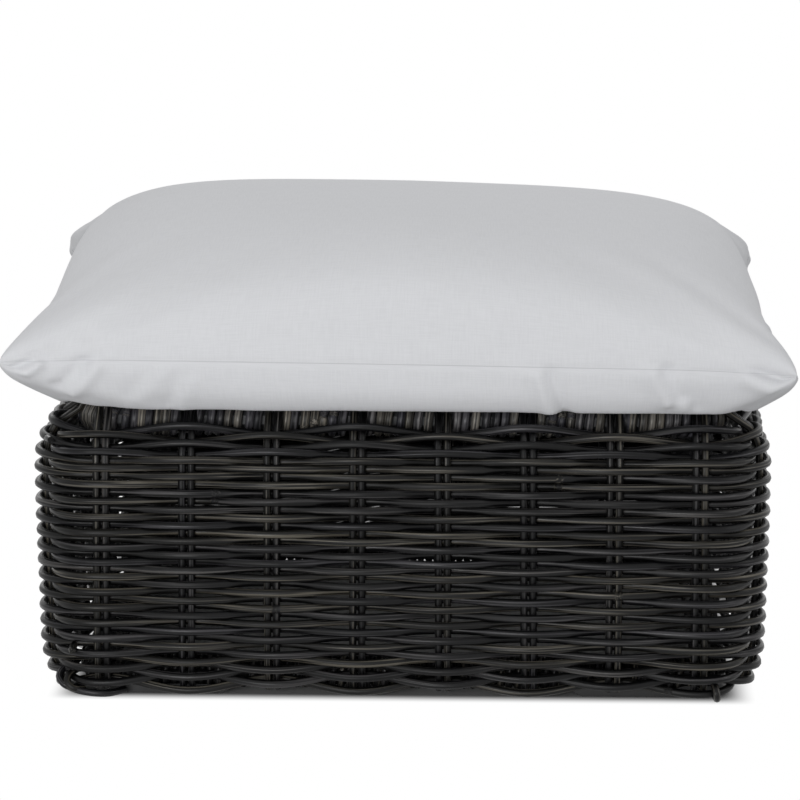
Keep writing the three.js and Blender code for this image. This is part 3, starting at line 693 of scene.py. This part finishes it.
def plain_strand_tree():
    """Sweeps a strand along lines that are already in place."""
    tree, size, fields, curve = tree_on_lines(
        "plain_strands", ("run",), Diameter=STAKE, Sides=10, Waver=STAKE_WAVER, Seed=0.0,
        Material=None)
    return end_with_strand(tree, size, curve, fields["run"], STAKE_TONE_LENGTH)


def grow(name, carrier, tree, **sizes):
    """Runs a node tree on a carrier mesh and returns the piece as a plain mesh object."""
    piece = put_in_scene(name, carrier)
    modifier = piece.modifiers.new(tree.name, "NODES")
    modifier.node_group = tree
    sizes["Seed"] = STRAND_SEEDS[name]
    for item in tree.interface.items_tree:
        if item.in_out == "INPUT" and item.name in sizes:
            modifier[item.identifier] = sizes[item.name]
    made_plain(piece, modifier)
    return piece


def dress(piece, body, slot, *nodes):
    """Puts a finished piece on its body and hides the CAD nodes that it stands for. Its slot is not
    used.
    """
    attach(piece, body)
    if nodes:
        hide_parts(*nodes)


# The rounded square that wall and rails follow, run as the strand is woven: along the back to
# -X, down the left side, along the front to +X and up the right side

SIDE_OUTWARDS = [Vector((0, 1, 0)), Vector((-1, 0, 0)), Vector((0, -1, 0)), Vector((1, 0, 0))]


def loop_place(distance, half, corner):
    """The point and outward direction at a distance along a rounded square from the middle of
    its back side."""
    straight = 2 * (half - corner)
    arc = corner * TURN / 4
    distance = (distance + straight / 2) % (4 * (straight + arc))
    side, rest = divmod(distance, straight + arc)
    outward = SIDE_OUTWARDS[int(side)]
    along = UP.cross(outward)
    if rest <= straight:
        return outward * half + along * (rest - straight / 2), outward
    angle = (rest - straight) / corner
    leaving = outward * math.cos(angle) + along * math.sin(angle)
    centre = (outward + along) * (half - corner)
    return centre + leaving * corner, leaving


WALL_STRAIGHT = 2 * (WALL_HALF - WALL_CORNER)
WALL_SIDE = WALL_STRAIGHT + WALL_CORNER * TURN / 4
WALL_LENGTH = 4 * WALL_SIDE


def stake_distances():
    """How far along the wall line each stake pair stands, in weaving order."""
    return [side * WALL_SIDE - STAKE_END + i * STAKE_PITCH
            for side in range(4) for i in range(STAKES_PER_SIDE)]


def woven_turn():
    """One turn of the weave as a flat line, and what lifts and swings it at each point."""
    stakes = stake_distances()
    order = stakes[STEP_AFTER_STAKE:] + [d + WALL_LENGTH for d in stakes[:STEP_AFTER_STAKE + 1]]
    points, values = [], []
    for i, (start, end) in enumerate(zip(order, order[1:])):
        count = round((end - start) / WEAVE_SPACING)
        last_bay = i == len(order) - 2
        sign = -1 if (i + STEP_AFTER_STAKE) % 2 == 0 else 1
        for k in range(count + (1 if last_bay else 0)):
            share = k / count
            distance = start + share * (end - start)
            point, outward = loop_place(distance, WALL_HALF, WALL_CORNER)
            points.append(point)
            swing = sign * WEAVE_SWING * math.cos(math.pi * share)
            step = 0.5 - 0.5 * math.cos(math.pi * share) if last_bay else 0.0
            settle = mix(FRONT_SETTLE, BACK_SETTLE, (outward.y + 1) / 2)
            lean_share = 1 - max(0.0, outward.y) ** 2
            front_share = max(0.0, -outward.y) ** 2
            values.append((outward, swing, step, distance - order[0], settle, lean_share,
                           front_share))
    return points, dict(zip(WEAVE_FIELDS, zip(*values)))


def make_weave(weave):
    """The two interlaced families of weavers: odd rows, then even rows."""
    points, fields = woven_turn()
    swings = fields.pop("swing")
    for family, letter in enumerate("ab"):
        sign = 1 - 2 * family
        carrier = line_mesh(f"weave_line_{letter}", [points],
                            swing=[sign * swing for swing in swings], **fields)
        piece = grow(f"weavers_{letter}", carrier, weave, Turns=(ROWS + 1 - family) // 2,
                     First_Height=TOP_ROW - family * ROW_SPACING,
                     Turn_Length=fields["run"][-1], Material=STRAND_LOOK)
        nodes = [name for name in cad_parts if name.startswith(f"weaver_{letter}_")]
        dress(piece, "base", "wicker", *nodes)


def rail_out(place):
    """How far out the rail runs at a place along a side, which drops away round a corner."""
    past = abs(place) - (RAIL_HALF - RAIL_CORNER)
    if past <= 0:
        return RAIL_HALF
    return RAIL_HALF - RAIL_CORNER + math.sqrt(RAIL_CORNER ** 2 - past ** 2)


def stake_profile(place):
    """A stake's line in (out, height): up the wall, then over the rail as one of its turns, or
    at a corner up against the turns."""
    points = []
    height = STAKE_FOOT
    while height < STAKE_BEND:
        points.append((WALL_HALF - tuck_at(height), height))
        height += STAKE_STEP
    at_corner = abs(place) > RAIL_HALF - RAIL_CORNER
    radius = WIND_RADIUS + (WIND_STRAND if at_corner else 0)
    for degrees in ANGLES_AT_CORNER if at_corner else ANGLES_OVER_RAIL:
        angle = math.radians(degrees)
        points.append((rail_out(place) + radius * math.cos(angle),
                       TOP_RAIL + radius * math.sin(angle)))
    return points


def make_stakes(plain):
    """The stake pairs, each a little out of true, replacing the CAD's stake panels."""
    source = random.Random(SEED)
    lines, runs = [], []
    for number, distance in enumerate(stake_distances()):
        side = number // STAKES_PER_SIDE
        outward = SIDE_OUTWARDS[side]
        along = UP.cross(outward)
        place = distance - side * WALL_SIDE
        lean = source.uniform(-STAKE_LEAN, STAKE_LEAN)
        for k, half in enumerate((-0.5, 0.5)):
            line = []
            for out, height in stake_profile(place):
                shift = half * PAIR_SPACING + lean * (height / TOP_ROW - 0.5)
                line.append(outward * out + along * (place + shift) + UP * height)
                runs.append((2 * number + k) * STAKE_TONE_LENGTH + height)
            lines.append(line)
    carrier = line_mesh("stake_lines", lines, run=runs)
    piece = grow("stakes", carrier, plain, Material=STRAND_LOOK)
    dress(piece, "base", "wicker", *[f"stakes_{side}" for side in
                                     ("back", "left", "front", "right")])


RAIL_STRAIGHT = 2 * (RAIL_HALF - RAIL_CORNER)
RAIL_SIDE = RAIL_STRAIGHT + RAIL_CORNER * TURN / 4
CORNER_BAY = RAIL_SIDE - 2 * STAKE_END
CORNER_WINDS = 20


def wind_line(bays, height, source):
    """A line wound along a rail in bays of (start, end, turns), and what winds it at each
    point. Every turn begins underneath, so that what it skips between bays stays hidden."""
    points, outwards, angles, runs = [], [], [], []
    run = 0.0
    for start, end, turns in bays:
        pitch = (end - start) / turns
        for turn in range(turns):
            tilt = source.uniform(-WIND_TILT, WIND_TILT)
            for k in range(WIND_STEPS):
                share = k / WIND_STEPS
                lean = tilt * math.sin(TURN * (share - WIND_TILT_START)) + pitch * (share - 0.5)
                distance = start + (turn + 0.5) * pitch + lean
                point, outward = loop_place(distance, RAIL_HALF, RAIL_CORNER)
                points.append(point + UP * height)
                outwards.append(outward)
                angles.append(TURN * share + WIND_START)
                runs.append(run)
                run += TURN * WIND_RADIUS / WIND_STEPS
    return points, {"outward": outwards, "angle": angles, "run": runs}


def top_bays():
    """The top rail's bays: between stake pairs, and round each corner behind the end pairs."""
    half_pair = (PAIR_SPACING + STAKE) / 2 + WIND_CLEARANCE
    bays = []
    for side in range(4):
        first = side * RAIL_SIDE - STAKE_END
        for i in range(1, STAKES_PER_SIDE - 2):
            start = first + i * STAKE_PITCH
            bays.append((start + half_pair, start + STAKE_PITCH - half_pair, WINDS_PER_BAY))
        last = side * RAIL_SIDE + STAKE_END - STAKE_PITCH
        bays.append((last + half_pair, last + 2 * STAKE_PITCH + CORNER_BAY - half_pair,
                     CORNER_WINDS))
    return bays


def make_windings(wound):
    """The strand wound round the top rail, and round the bottom rail."""
    source = random.Random(SEED + 1)
    length = 4 * RAIL_SIDE
    low_bays = [(0.0, length, int(length / LOW_WIND_PITCH))]
    # The top rail's winding wears the strand's lighter copy, which is painted light; the bottom
    # rail's wears the strand's own colours
    for name, bays, height, look, nodes in (
            ("top_rail_winding", top_bays(), TOP_RAIL, LIGHTER_PAINTED_WINDING_LOOK, []),
            ("bottom_rail_winding", low_bays, LOW_RAIL, STRAND_LOOK, ["bottom_rail_wrap"])):
        points, fields = wind_line(bays, height, source)
        carrier = line_mesh(f"{name}_line", [points], **fields)
        dress(grow(name, carrier, wound, Material=look), "base", "wicker", *nodes)


# Where strands are tied off near the front's corners: each line's points in mm

TIED_STEPS = 4
TIED_ROUNDINGS = 3
TIED_TONE_STEP = 0.7
TIED_ENDS = [
    [(-322, -300, 27), (-326, -312, 21), (-321, -324, 13), (-308, -331, 8), (-292, -334, 6),
     (-276, -332, 5), (-262, -318, 6)],
    [(-312, -310, 29), (-321, -318, 26), (-325, -325, 20), (-319, -331, 13), (-309, -329, 9),
     (-304, -318, 11)],
    [(-308, -316, 25), (-315, -325, 22), (-317, -331, 15), (-309, -333, 9), (-300, -326, 8)],
    [(296, -321, 16), (297, -333, 17), (298.5, -338.5, 11), (299, -334, 4.6), (298, -321, 4.4)],
    [(-308, -326, 52), (-309.5, -337, 51), (-309, -345.5, 50.5), (-308, -347, 49)],
    [(-331, -290, 245), (-334, -303, 246), (-333, -315, 247.5), (-329, -323, 247)]]


def make_tied_ends(plain):
    """The ends of strands near the front's corners: ties wound round the last rows, and
    tails."""
    lines, runs = [], []
    for number, ends in enumerate(TIED_ENDS):
        points = [Vector(point) * MM for point in ends]
        line = []
        for start, end in zip(points, points[1:]):
            for k in range(TIED_STEPS):
                line.append(mix(start, end, k / TIED_STEPS))
        line.append(points[-1])
        for _ in range(TIED_ROUNDINGS):
            inner = [(a + 2 * b + c) / 4 for a, b, c in zip(line, line[1:], line[2:])]
            line = [line[0], *inner, line[-1]]
        lines.append(line)
        runs += [number * TIED_TONE_STEP + length for length in grid_lengths(line)]
    carrier = line_mesh("tied_end_lines", lines, run=runs)
    dress(grow("tied_ends", carrier, plain, Material=STRAND_LOOK), "base", "wicker")


# Cushion


def drawn_in(share, straight):
    """How much of the full draw-in a side has at a share of its half length."""
    past = max(0.0, abs(share) - straight) / (1 - straight)
    return 1 - past * past


def plain_seam_height(u, v):
    """The seam's height without its tips: level at the back, tilted at the front."""
    return CUSHION_SEAM - SEAM_TILT * u * (1 - v) / 2


def seam_height(u, v):
    """The seam's height: turned up or down towards each corner's tip."""
    height = plain_seam_height(u, v)
    for (sign_u, sign_v), tip in CUSHION_TIPS.items():
        near = (max(0.0, u * sign_u) * max(0.0, v * sign_v)) ** TIP_TURN_POWER
        height += (tip.z - plain_seam_height(sign_u, sign_v)) * near
    return height


def resting_height(x, y):
    """The lowest the cover may lie: on the rim, or a little lower where it hangs outside it."""
    past = (max(abs(x), abs(y)) - RIM_REACH) / (HANG_REACH - RIM_REACH)
    return CUSHION_FLOOR - CUSHION_HANG * clamped(past)


def cushion_point(u, v, top):
    """A point of the cushion's top or bottom panel, u and v running from -1 to 1."""
    tips = CUSHION_TIPS
    blunt = 1 - TIP_BLUNTNESS * (u * v) ** TIP_BLUNT_POWER
    across = (u * blunt + 1) / 2
    along = (v * blunt + 1) / 2
    left = mix(tips[-1, -1].x, tips[-1, 1].x, along) + LEFT_DRAW_IN * drawn_in(v, SIDE_STRAIGHT)
    right = mix(tips[1, -1].x, tips[1, 1].x, along) - RIGHT_DRAW_IN * drawn_in(v, SIDE_STRAIGHT)
    drawn = drawn_in(u, FRONT_STRAIGHT)
    front = mix(tips[-1, -1].y, tips[1, -1].y, across) + FRONT_DRAW_IN * drawn
    back = mix(tips[-1, 1].y, tips[1, 1].y, across) - BACK_DRAW_IN * drawn
    x = mix(left, right, across)
    y = mix(front, back, along)
    flatness = BELLY_FLATNESS
    if top:
        flatness = FRONT_FLATNESS if v < 0 else BACK_FLATNESS
    sides = max(0.0, (1 - abs(u) ** FLATNESS_ACROSS) * (1 - abs(v) ** flatness))
    seam = seam_height(u, v)
    if top:
        taper = (FRONT_TAPER if v < 0 else BACK_TAPER) * abs(u * v) ** TAPER_POWER
        fullness = sides ** FULLNESS * (1 - taper)
        return Vector((x, y, mix(seam, CUSHION_TOP - CUSHION_TILT * u, fullness)))
    fullness = sides ** BELLY_FULLNESS * (1 - BELLY_TAPER * abs(u * v) ** BELLY_TAPER_POWER)
    bulge = 4 * BELLY_BULGE * fullness * (1 - fullness)
    x += bulge * u ** BULGE_POWER
    y += bulge * v ** BULGE_POWER
    return Vector((x, y, max(resting_height(x, y), seam - CUSHION_BELLY * fullness)))


def grid_lengths(points):
    """How far along a line of points each one lies."""
    lengths = [0.0]
    for here, after in zip(points, points[1:]):
        lengths.append(lengths[-1] + (after - here).length)
    return lengths


def even_spread(cells, is_across):
    """Shares from -1 to 1 that divide the cloth evenly, across the cushion or along it."""
    shares = [math.sin(math.pi / 2 * (2 * i / SPREAD_SAMPLES - 1))
              for i in range(SPREAD_SAMPLES + 1)]
    totals = [0.0] * len(shares)
    for top in (True, False):
        points = [cushion_point(s, 0, top) if is_across else cushion_point(0, s, top)
                  for s in shares]
        totals = [total + length for total, length in zip(totals, grid_lengths(points))]
    spread = []
    for i in range(cells):
        place = totals[-1] * i / cells
        while totals[0] < place and len(totals) > 2 and totals[1] <= place:
            totals.pop(0)
            shares.pop(0)
        spread.append(shares[0])
    return spread + [1.0]


def pillow_mesh(name, cells):
    """The cushion as two square panels of cells joined at the seam. Each point keeps its place
    on the flat cloth, and how far it lies above or below the seam."""
    spread_across = even_spread(cells, True)
    spread_along = even_spread(cells, False)
    positions, faces, cloth, gaps, panels = [], [], [], [], {True: {}, False: {}}
    for top in (True, False):
        across = grid_lengths([cushion_point(u, 0, top) for u in spread_across])
        along = grid_lengths([cushion_point(0, v, top) for v in spread_along])
        for i, u in enumerate(spread_across):
            for j, v in enumerate(spread_along):
                if not top and (i in (0, cells) or j in (0, cells)):
                    panels[top][i, j] = panels[True][i, j]
                    continue
                panels[top][i, j] = len(positions)
                positions.append(cushion_point(u, v, top))
                cloth.append((across[i], along[j], 0.0))
                gap = min(across[i], across[-1] - across[i], along[j], along[-1] - along[j])
                gaps.append(gap if top else -gap)
    for i in range(cells):
        for j in range(cells):
            ring = [(i, j), (i + 1, j), (i + 1, j + 1), (i, j + 1)]
            faces.append([panels[True][c] for c in ring])
            faces.append([panels[False][c] for c in reversed(ring)])
    mesh = bpy.data.meshes.new(name)
    mesh.from_pydata(positions, [], faces)
    store(mesh, cloth=cloth, seam_gap=gaps)
    return mesh


def held_share(point, gap):
    """How firmly the seam and the corners' tips hold a point of the cloth, from 0 to 1."""
    by_seam = 1 - abs(gap) / HELD_BY_SEAM
    nearest = min((point - tip).length for tip in CUSHION_TIPS.values())
    by_tip = TIP_HOLD * (1 - nearest / HELD_BY_TIP)
    return clamped(max(by_seam, by_tip))


def cloth_reach(gap):
    """How far the cloth may move: less away from the seam, where it lies drawn tight."""
    inner = clamped((abs(gap) - REACH_FROM) / (REACH_TO - REACH_FROM))
    return mix(CLOTH_REACH, INNER_REACH, inner)


def smoothed(mesh, moves):
    """The moves averaged with their neighbours', so that no fold is sharper than cloth's."""
    for _ in range(CLOTH_SMOOTHING):
        sums = [move.copy() for move in moves]
        counts = [1] * len(moves)
        for edge in mesh.edges:
            start, end = edge.vertices
            sums[start] += moves[end]
            sums[end] += moves[start]
            counts[start] += 1
            counts[end] += 1
        moves = [total / count for total, count in zip(sums, counts)]
    return moves


def fill_cover(mesh):
    """Blows the cover up from inside while its seam holds it, so that the cloth, cut a little
    full, finds its own puckers. No point moves further than the cloth's reach, or below the
    rim that it lies on."""
    scene = bpy.context.scene
    gaps = [item.value for item in mesh.attributes["seam_gap"].data]
    holder = put_in_scene("filling_cover", mesh.copy())
    held = holder.vertex_groups.new(name="held")
    for index, vertex in enumerate(mesh.vertices):
        held.add([index], held_share(vertex.co, gaps[index]), "REPLACE")
    modifier = holder.modifiers.new("cloth", "CLOTH")
    modifier.collision_settings.use_collision = False
    cloth = modifier.settings
    cloth.quality = CLOTH_QUALITY
    cloth.vertex_group_mass = held.name
    cloth.bending_stiffness = CLOTH_STIFFNESS
    cloth.use_pressure = True
    cloth.uniform_pressure_force = CLOTH_PRESSURE
    cloth.shrink_min = -CLOTH_GROWTH
    cloth.effector_weights.gravity = 0
    for number in range(1, CLOTH_FRAMES + 1):
        scene.frame_set(number)
    graph = bpy.context.evaluated_depsgraph_get()
    filled = [vertex.co.copy() for vertex in holder.evaluated_get(graph).data.vertices]
    scene.frame_set(1)
    bpy.data.objects.remove(holder)
    moves = []
    for vertex, place, gap in zip(mesh.vertices, filled, gaps):
        move = place - vertex.co
        reach = cloth_reach(gap)
        moves.append(move * min(1.0, reach / max(move.length, reach)))
    for vertex, move in zip(mesh.vertices, smoothed(mesh, moves)):
        vertex.co += move
        vertex.co.z = max(vertex.co.z, resting_height(vertex.co.x, vertex.co.y))


def side_folds():
    """Folds for each side of the cushion: the front's own, and loose ones for the others. The
    back's keep off the zip."""
    source = random.Random(SEED + 2)
    folds = {"front": FRONT_FOLDS}
    for side in ("back", "left", "right"):
        folds[side] = []
        near = NEAR_ZIP if side == "back" else NEAR_SEAM
        for i in range(FOLDS_PER_SIDE):
            along = source.uniform(-FOLD_SPAN, FOLD_SPAN)
            sign = -1 if i % 3 else 1
            reach = sign * (near + source.uniform(*FOLD_LENGTH))
            lean = source.uniform(-FOLD_LEAN, FOLD_LEAN)
            folds[side].append((along + lean, reach, along, sign * near,
                                source.uniform(*FOLD_WIDTH),
                                source.uniform(-FOLD_HEIGHT, FOLD_HEIGHT)))
        outer, low, inner, high, width, height = CORNER_FOLD
        for sign in (-1, 1):
            folds[side].append((sign * outer, low, sign * inner, high, width, sign * height))
    return folds


def fold_height(fold, along, gap):
    """How far one fold lifts the cloth: a ridge with a valley beside it, fading at its ends."""
    start = Vector((fold[0], fold[1])) * MM
    line = Vector((fold[2], fold[3])) * MM - start
    width, height = fold[4] * MM, fold[5] * MM
    place = Vector((along, gap)) - start
    share = place.dot(line) / line.length_squared
    beyond = max(0.0, -share, share - 1) * line.length / width
    if beyond > FOLD_FADE:
        return 0.0
    side = (place.x * line.y - place.y * line.x) / line.length / width
    return height * side * math.exp(0.5 - side * side / 2 - beyond * beyond)


def pull_folds(mesh):
    """Lifts the folds out of the cloth beside the seam, and sinks the seam's groove."""
    folds = side_folds()
    gaps = [item.value for item in mesh.attributes["seam_gap"].data]
    normals = [vertex.normal.copy() for vertex in mesh.vertices]
    for vertex, gap, normal in zip(mesh.vertices, gaps, normals):
        if abs(gap) > FOLD_ZONE:
            continue
        x, y = vertex.co.x, vertex.co.y
        if abs(y) > abs(x):
            side, along = ("front", x) if y < 0 else ("back", -x)
        else:
            side, along = ("left", -y) if x < 0 else ("right", y)
        lift = sum(fold_height(fold, along, gap) for fold in folds[side])
        lift -= SEAM_GROOVE * math.exp(-(gap / SEAM_WIDTH) ** 2)
        vertex.co += normal * lift
        vertex.co.z = max(vertex.co.z, resting_height(vertex.co.x, vertex.co.y))


def make_cushion():
    """The cushion's cover: filled as cloth, made finer, then folded and seamed."""
    mesh = pillow_mesh("cushion", CUSHION_CELLS)
    fill_cover(mesh)
    cushion = put_in_scene("cushion", mesh)
    finer = cushion.modifiers.new("finer", "SUBSURF")
    finer.levels = 1
    finer.render_levels = 1
    fine = made_plain(cushion, finer)
    pull_folds(fine)
    fine.polygons.foreach_set("use_smooth", [True] * len(fine.polygons))
    fine.materials.append(CANVAS_LOOK)
    dress(cushion, "cushion", "cushion_cloth", "cushion_cover", "cushion_insert")


# CAD nodes that keep their own mesh


def paint_frame():
    """Gives the CAD nodes that still show their finish."""
    for name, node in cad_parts.items():
        if node.hide_render:
            continue
        look = COAT_LOOK
        if "screw" in name or name in ("zip_slider", "zip_pull"):
            look = ZINC_LOOK
        elif name.startswith("glide"):
            look = GLIDE_LOOK
        elif name == "zip_chain":
            look = TAPE_LOOK
        node.data.materials.clear()
        node.data.materials.append(look)


# Studio

FLOOR_REACH = 40.0
SHADOW_REACH = 0.305
WHITE_REACH = 0.338
REACH_BLEND = 0.03
SURROUND_LEVEL = 0.47

# Each softbox: its name, place and aim in metres, width, height and power in watts

SOFTBOXES = [
    ("front_softbox", (-0.7, -2.9, 0.4), (0, 0, 0.3), 1.2, 0.8, 33),
    ("overhead_softbox", (0.1, 0.1, 2.6), (0, 0, 0.3), 1.6, 1.6, 8),
    ("right_softbox", (2.4, -1.0, 1.3), (0, 0, 0.25), 0.8, 1.0, 9),
    ("back_softbox", (-1.2, 2.6, 1.8), (0, 0, 0.25), 1.2, 1.0, 12)]


def seen_directly(tree):
    """One for rays from the camera, a reflection or a clear body, and nought for other rays."""
    path = add(tree, "ShaderNodeLightPath").outputs
    seen = add(tree, "ShaderNodeMath", {
        0: path["Is Camera Ray"], 1: path["Is Glossy Ray"]}, operation="ADD")
    shown = add(tree, "ShaderNodeMath", {
        0: seen, 1: path["Is Transmission Ray"]}, operation="ADD", use_clamp=True)
    return shown


def make_backdrop():
    """A pale grey matt floor that keeps the object's shadow. Further out it is white to the
    camera and in reflections."""
    material, tree = new_material("white_studio_floor")
    place = add(tree, "ShaderNodeTexCoord").outputs["Object"]
    apart = add(tree, "ShaderNodeVectorMath", {0: place}, operation="ABSOLUTE")
    parts = add(tree, "ShaderNodeSeparateXYZ", {0: apart})
    away = add(tree, "ShaderNodeMath", {
        0: parts.outputs["X"], 1: parts.outputs["Y"], 2: REACH_BLEND}, operation="SMOOTH_MAX")
    outer = add(tree, "ShaderNodeMapRange", {
        "Value": away, "From Min": SHADOW_REACH, "From Max": WHITE_REACH},
        interpolation_type="SMOOTHSTEP")
    white = add(tree, "ShaderNodeMath", {0: seen_directly(tree), 1: outer}, operation="MULTIPLY")
    matt = add(tree, "ShaderNodeBsdfDiffuse", {"Color": linear("bcbcbc")})
    glow = add(tree, "ShaderNodeEmission", {"Color": (1, 1, 1, 1), "Strength": 1.0})
    mixed = add(tree, "ShaderNodeMixShader", {0: white, 1: matt, 2: glow})
    add(tree, "ShaderNodeOutputMaterial", {"Surface": mixed})
    far = FLOOR_REACH
    mesh = bpy.data.meshes.new("studio_floor")
    mesh.from_pydata([(-far, -far, 0), (far, -far, 0), (far, far, 0), (-far, far, 0)], [],
                     [(0, 1, 2, 3)])
    mesh.materials.append(material)
    floor = put_in_scene("studio_floor", mesh)


def make_world():
    """An even surround that lights softly, and is white to the camera and in reflections."""
    world = bpy.data.worlds.new("studio")
    world.use_nodes = True
    bpy.context.scene.world = world
    tree = world.node_tree
    tree.nodes.clear()
    level = add(tree, "ShaderNodeMapRange", {
        "Value": seen_directly(tree), "To Min": SURROUND_LEVEL, "To Max": 1.0})
    sky = add(tree, "ShaderNodeBackground", {"Color": (1, 1, 1, 1), "Strength": level})
    add(tree, "ShaderNodeOutputWorld", {"Surface": sky})


def add_softbox(name, place, aim, width, height, power):
    """A soft area light that faces a point."""
    light = bpy.data.lights.new(name, "AREA")
    light.shape = "RECTANGLE"
    light.size = width
    light.size_y = height
    light.energy = power
    lamp = put_in_scene(name, light)
    lamp.location = place
    lamp.rotation_euler = (Vector(aim) - Vector(place)).to_track_quat("-Z", "Y").to_euler()


def make_camera():
    """The camera at the photograph's place and lens."""
    data = bpy.data.cameras.new("camera")
    data.lens = CAMERA_LENS
    data.sensor_width = CAMERA_SENSOR
    data.clip_end = CAMERA_RANGE
    camera = put_in_scene("camera", data)
    level = math.cos(CAMERA_ELEVATION)
    direction = Vector((math.sin(CAMERA_AZIMUTH) * level, -math.cos(CAMERA_AZIMUTH) * level,
                        math.sin(CAMERA_ELEVATION)))
    camera.location = CAMERA_TARGET + direction * CAMERA_DISTANCE
    camera.rotation_euler = (-direction).to_track_quat("-Z", "Y").to_euler()
    bpy.context.scene.camera = camera


make_camera()
make_weave(weave_tree())
plain_strands = plain_strand_tree()
make_stakes(plain_strands)
make_tied_ends(plain_strands)
make_windings(wound_tree())
make_cushion()
paint_frame()
make_backdrop()
make_world()
for softbox in SOFTBOXES:
    add_softbox(*softbox)
bpy.context.scene.view_settings.view_transform = "Standard"
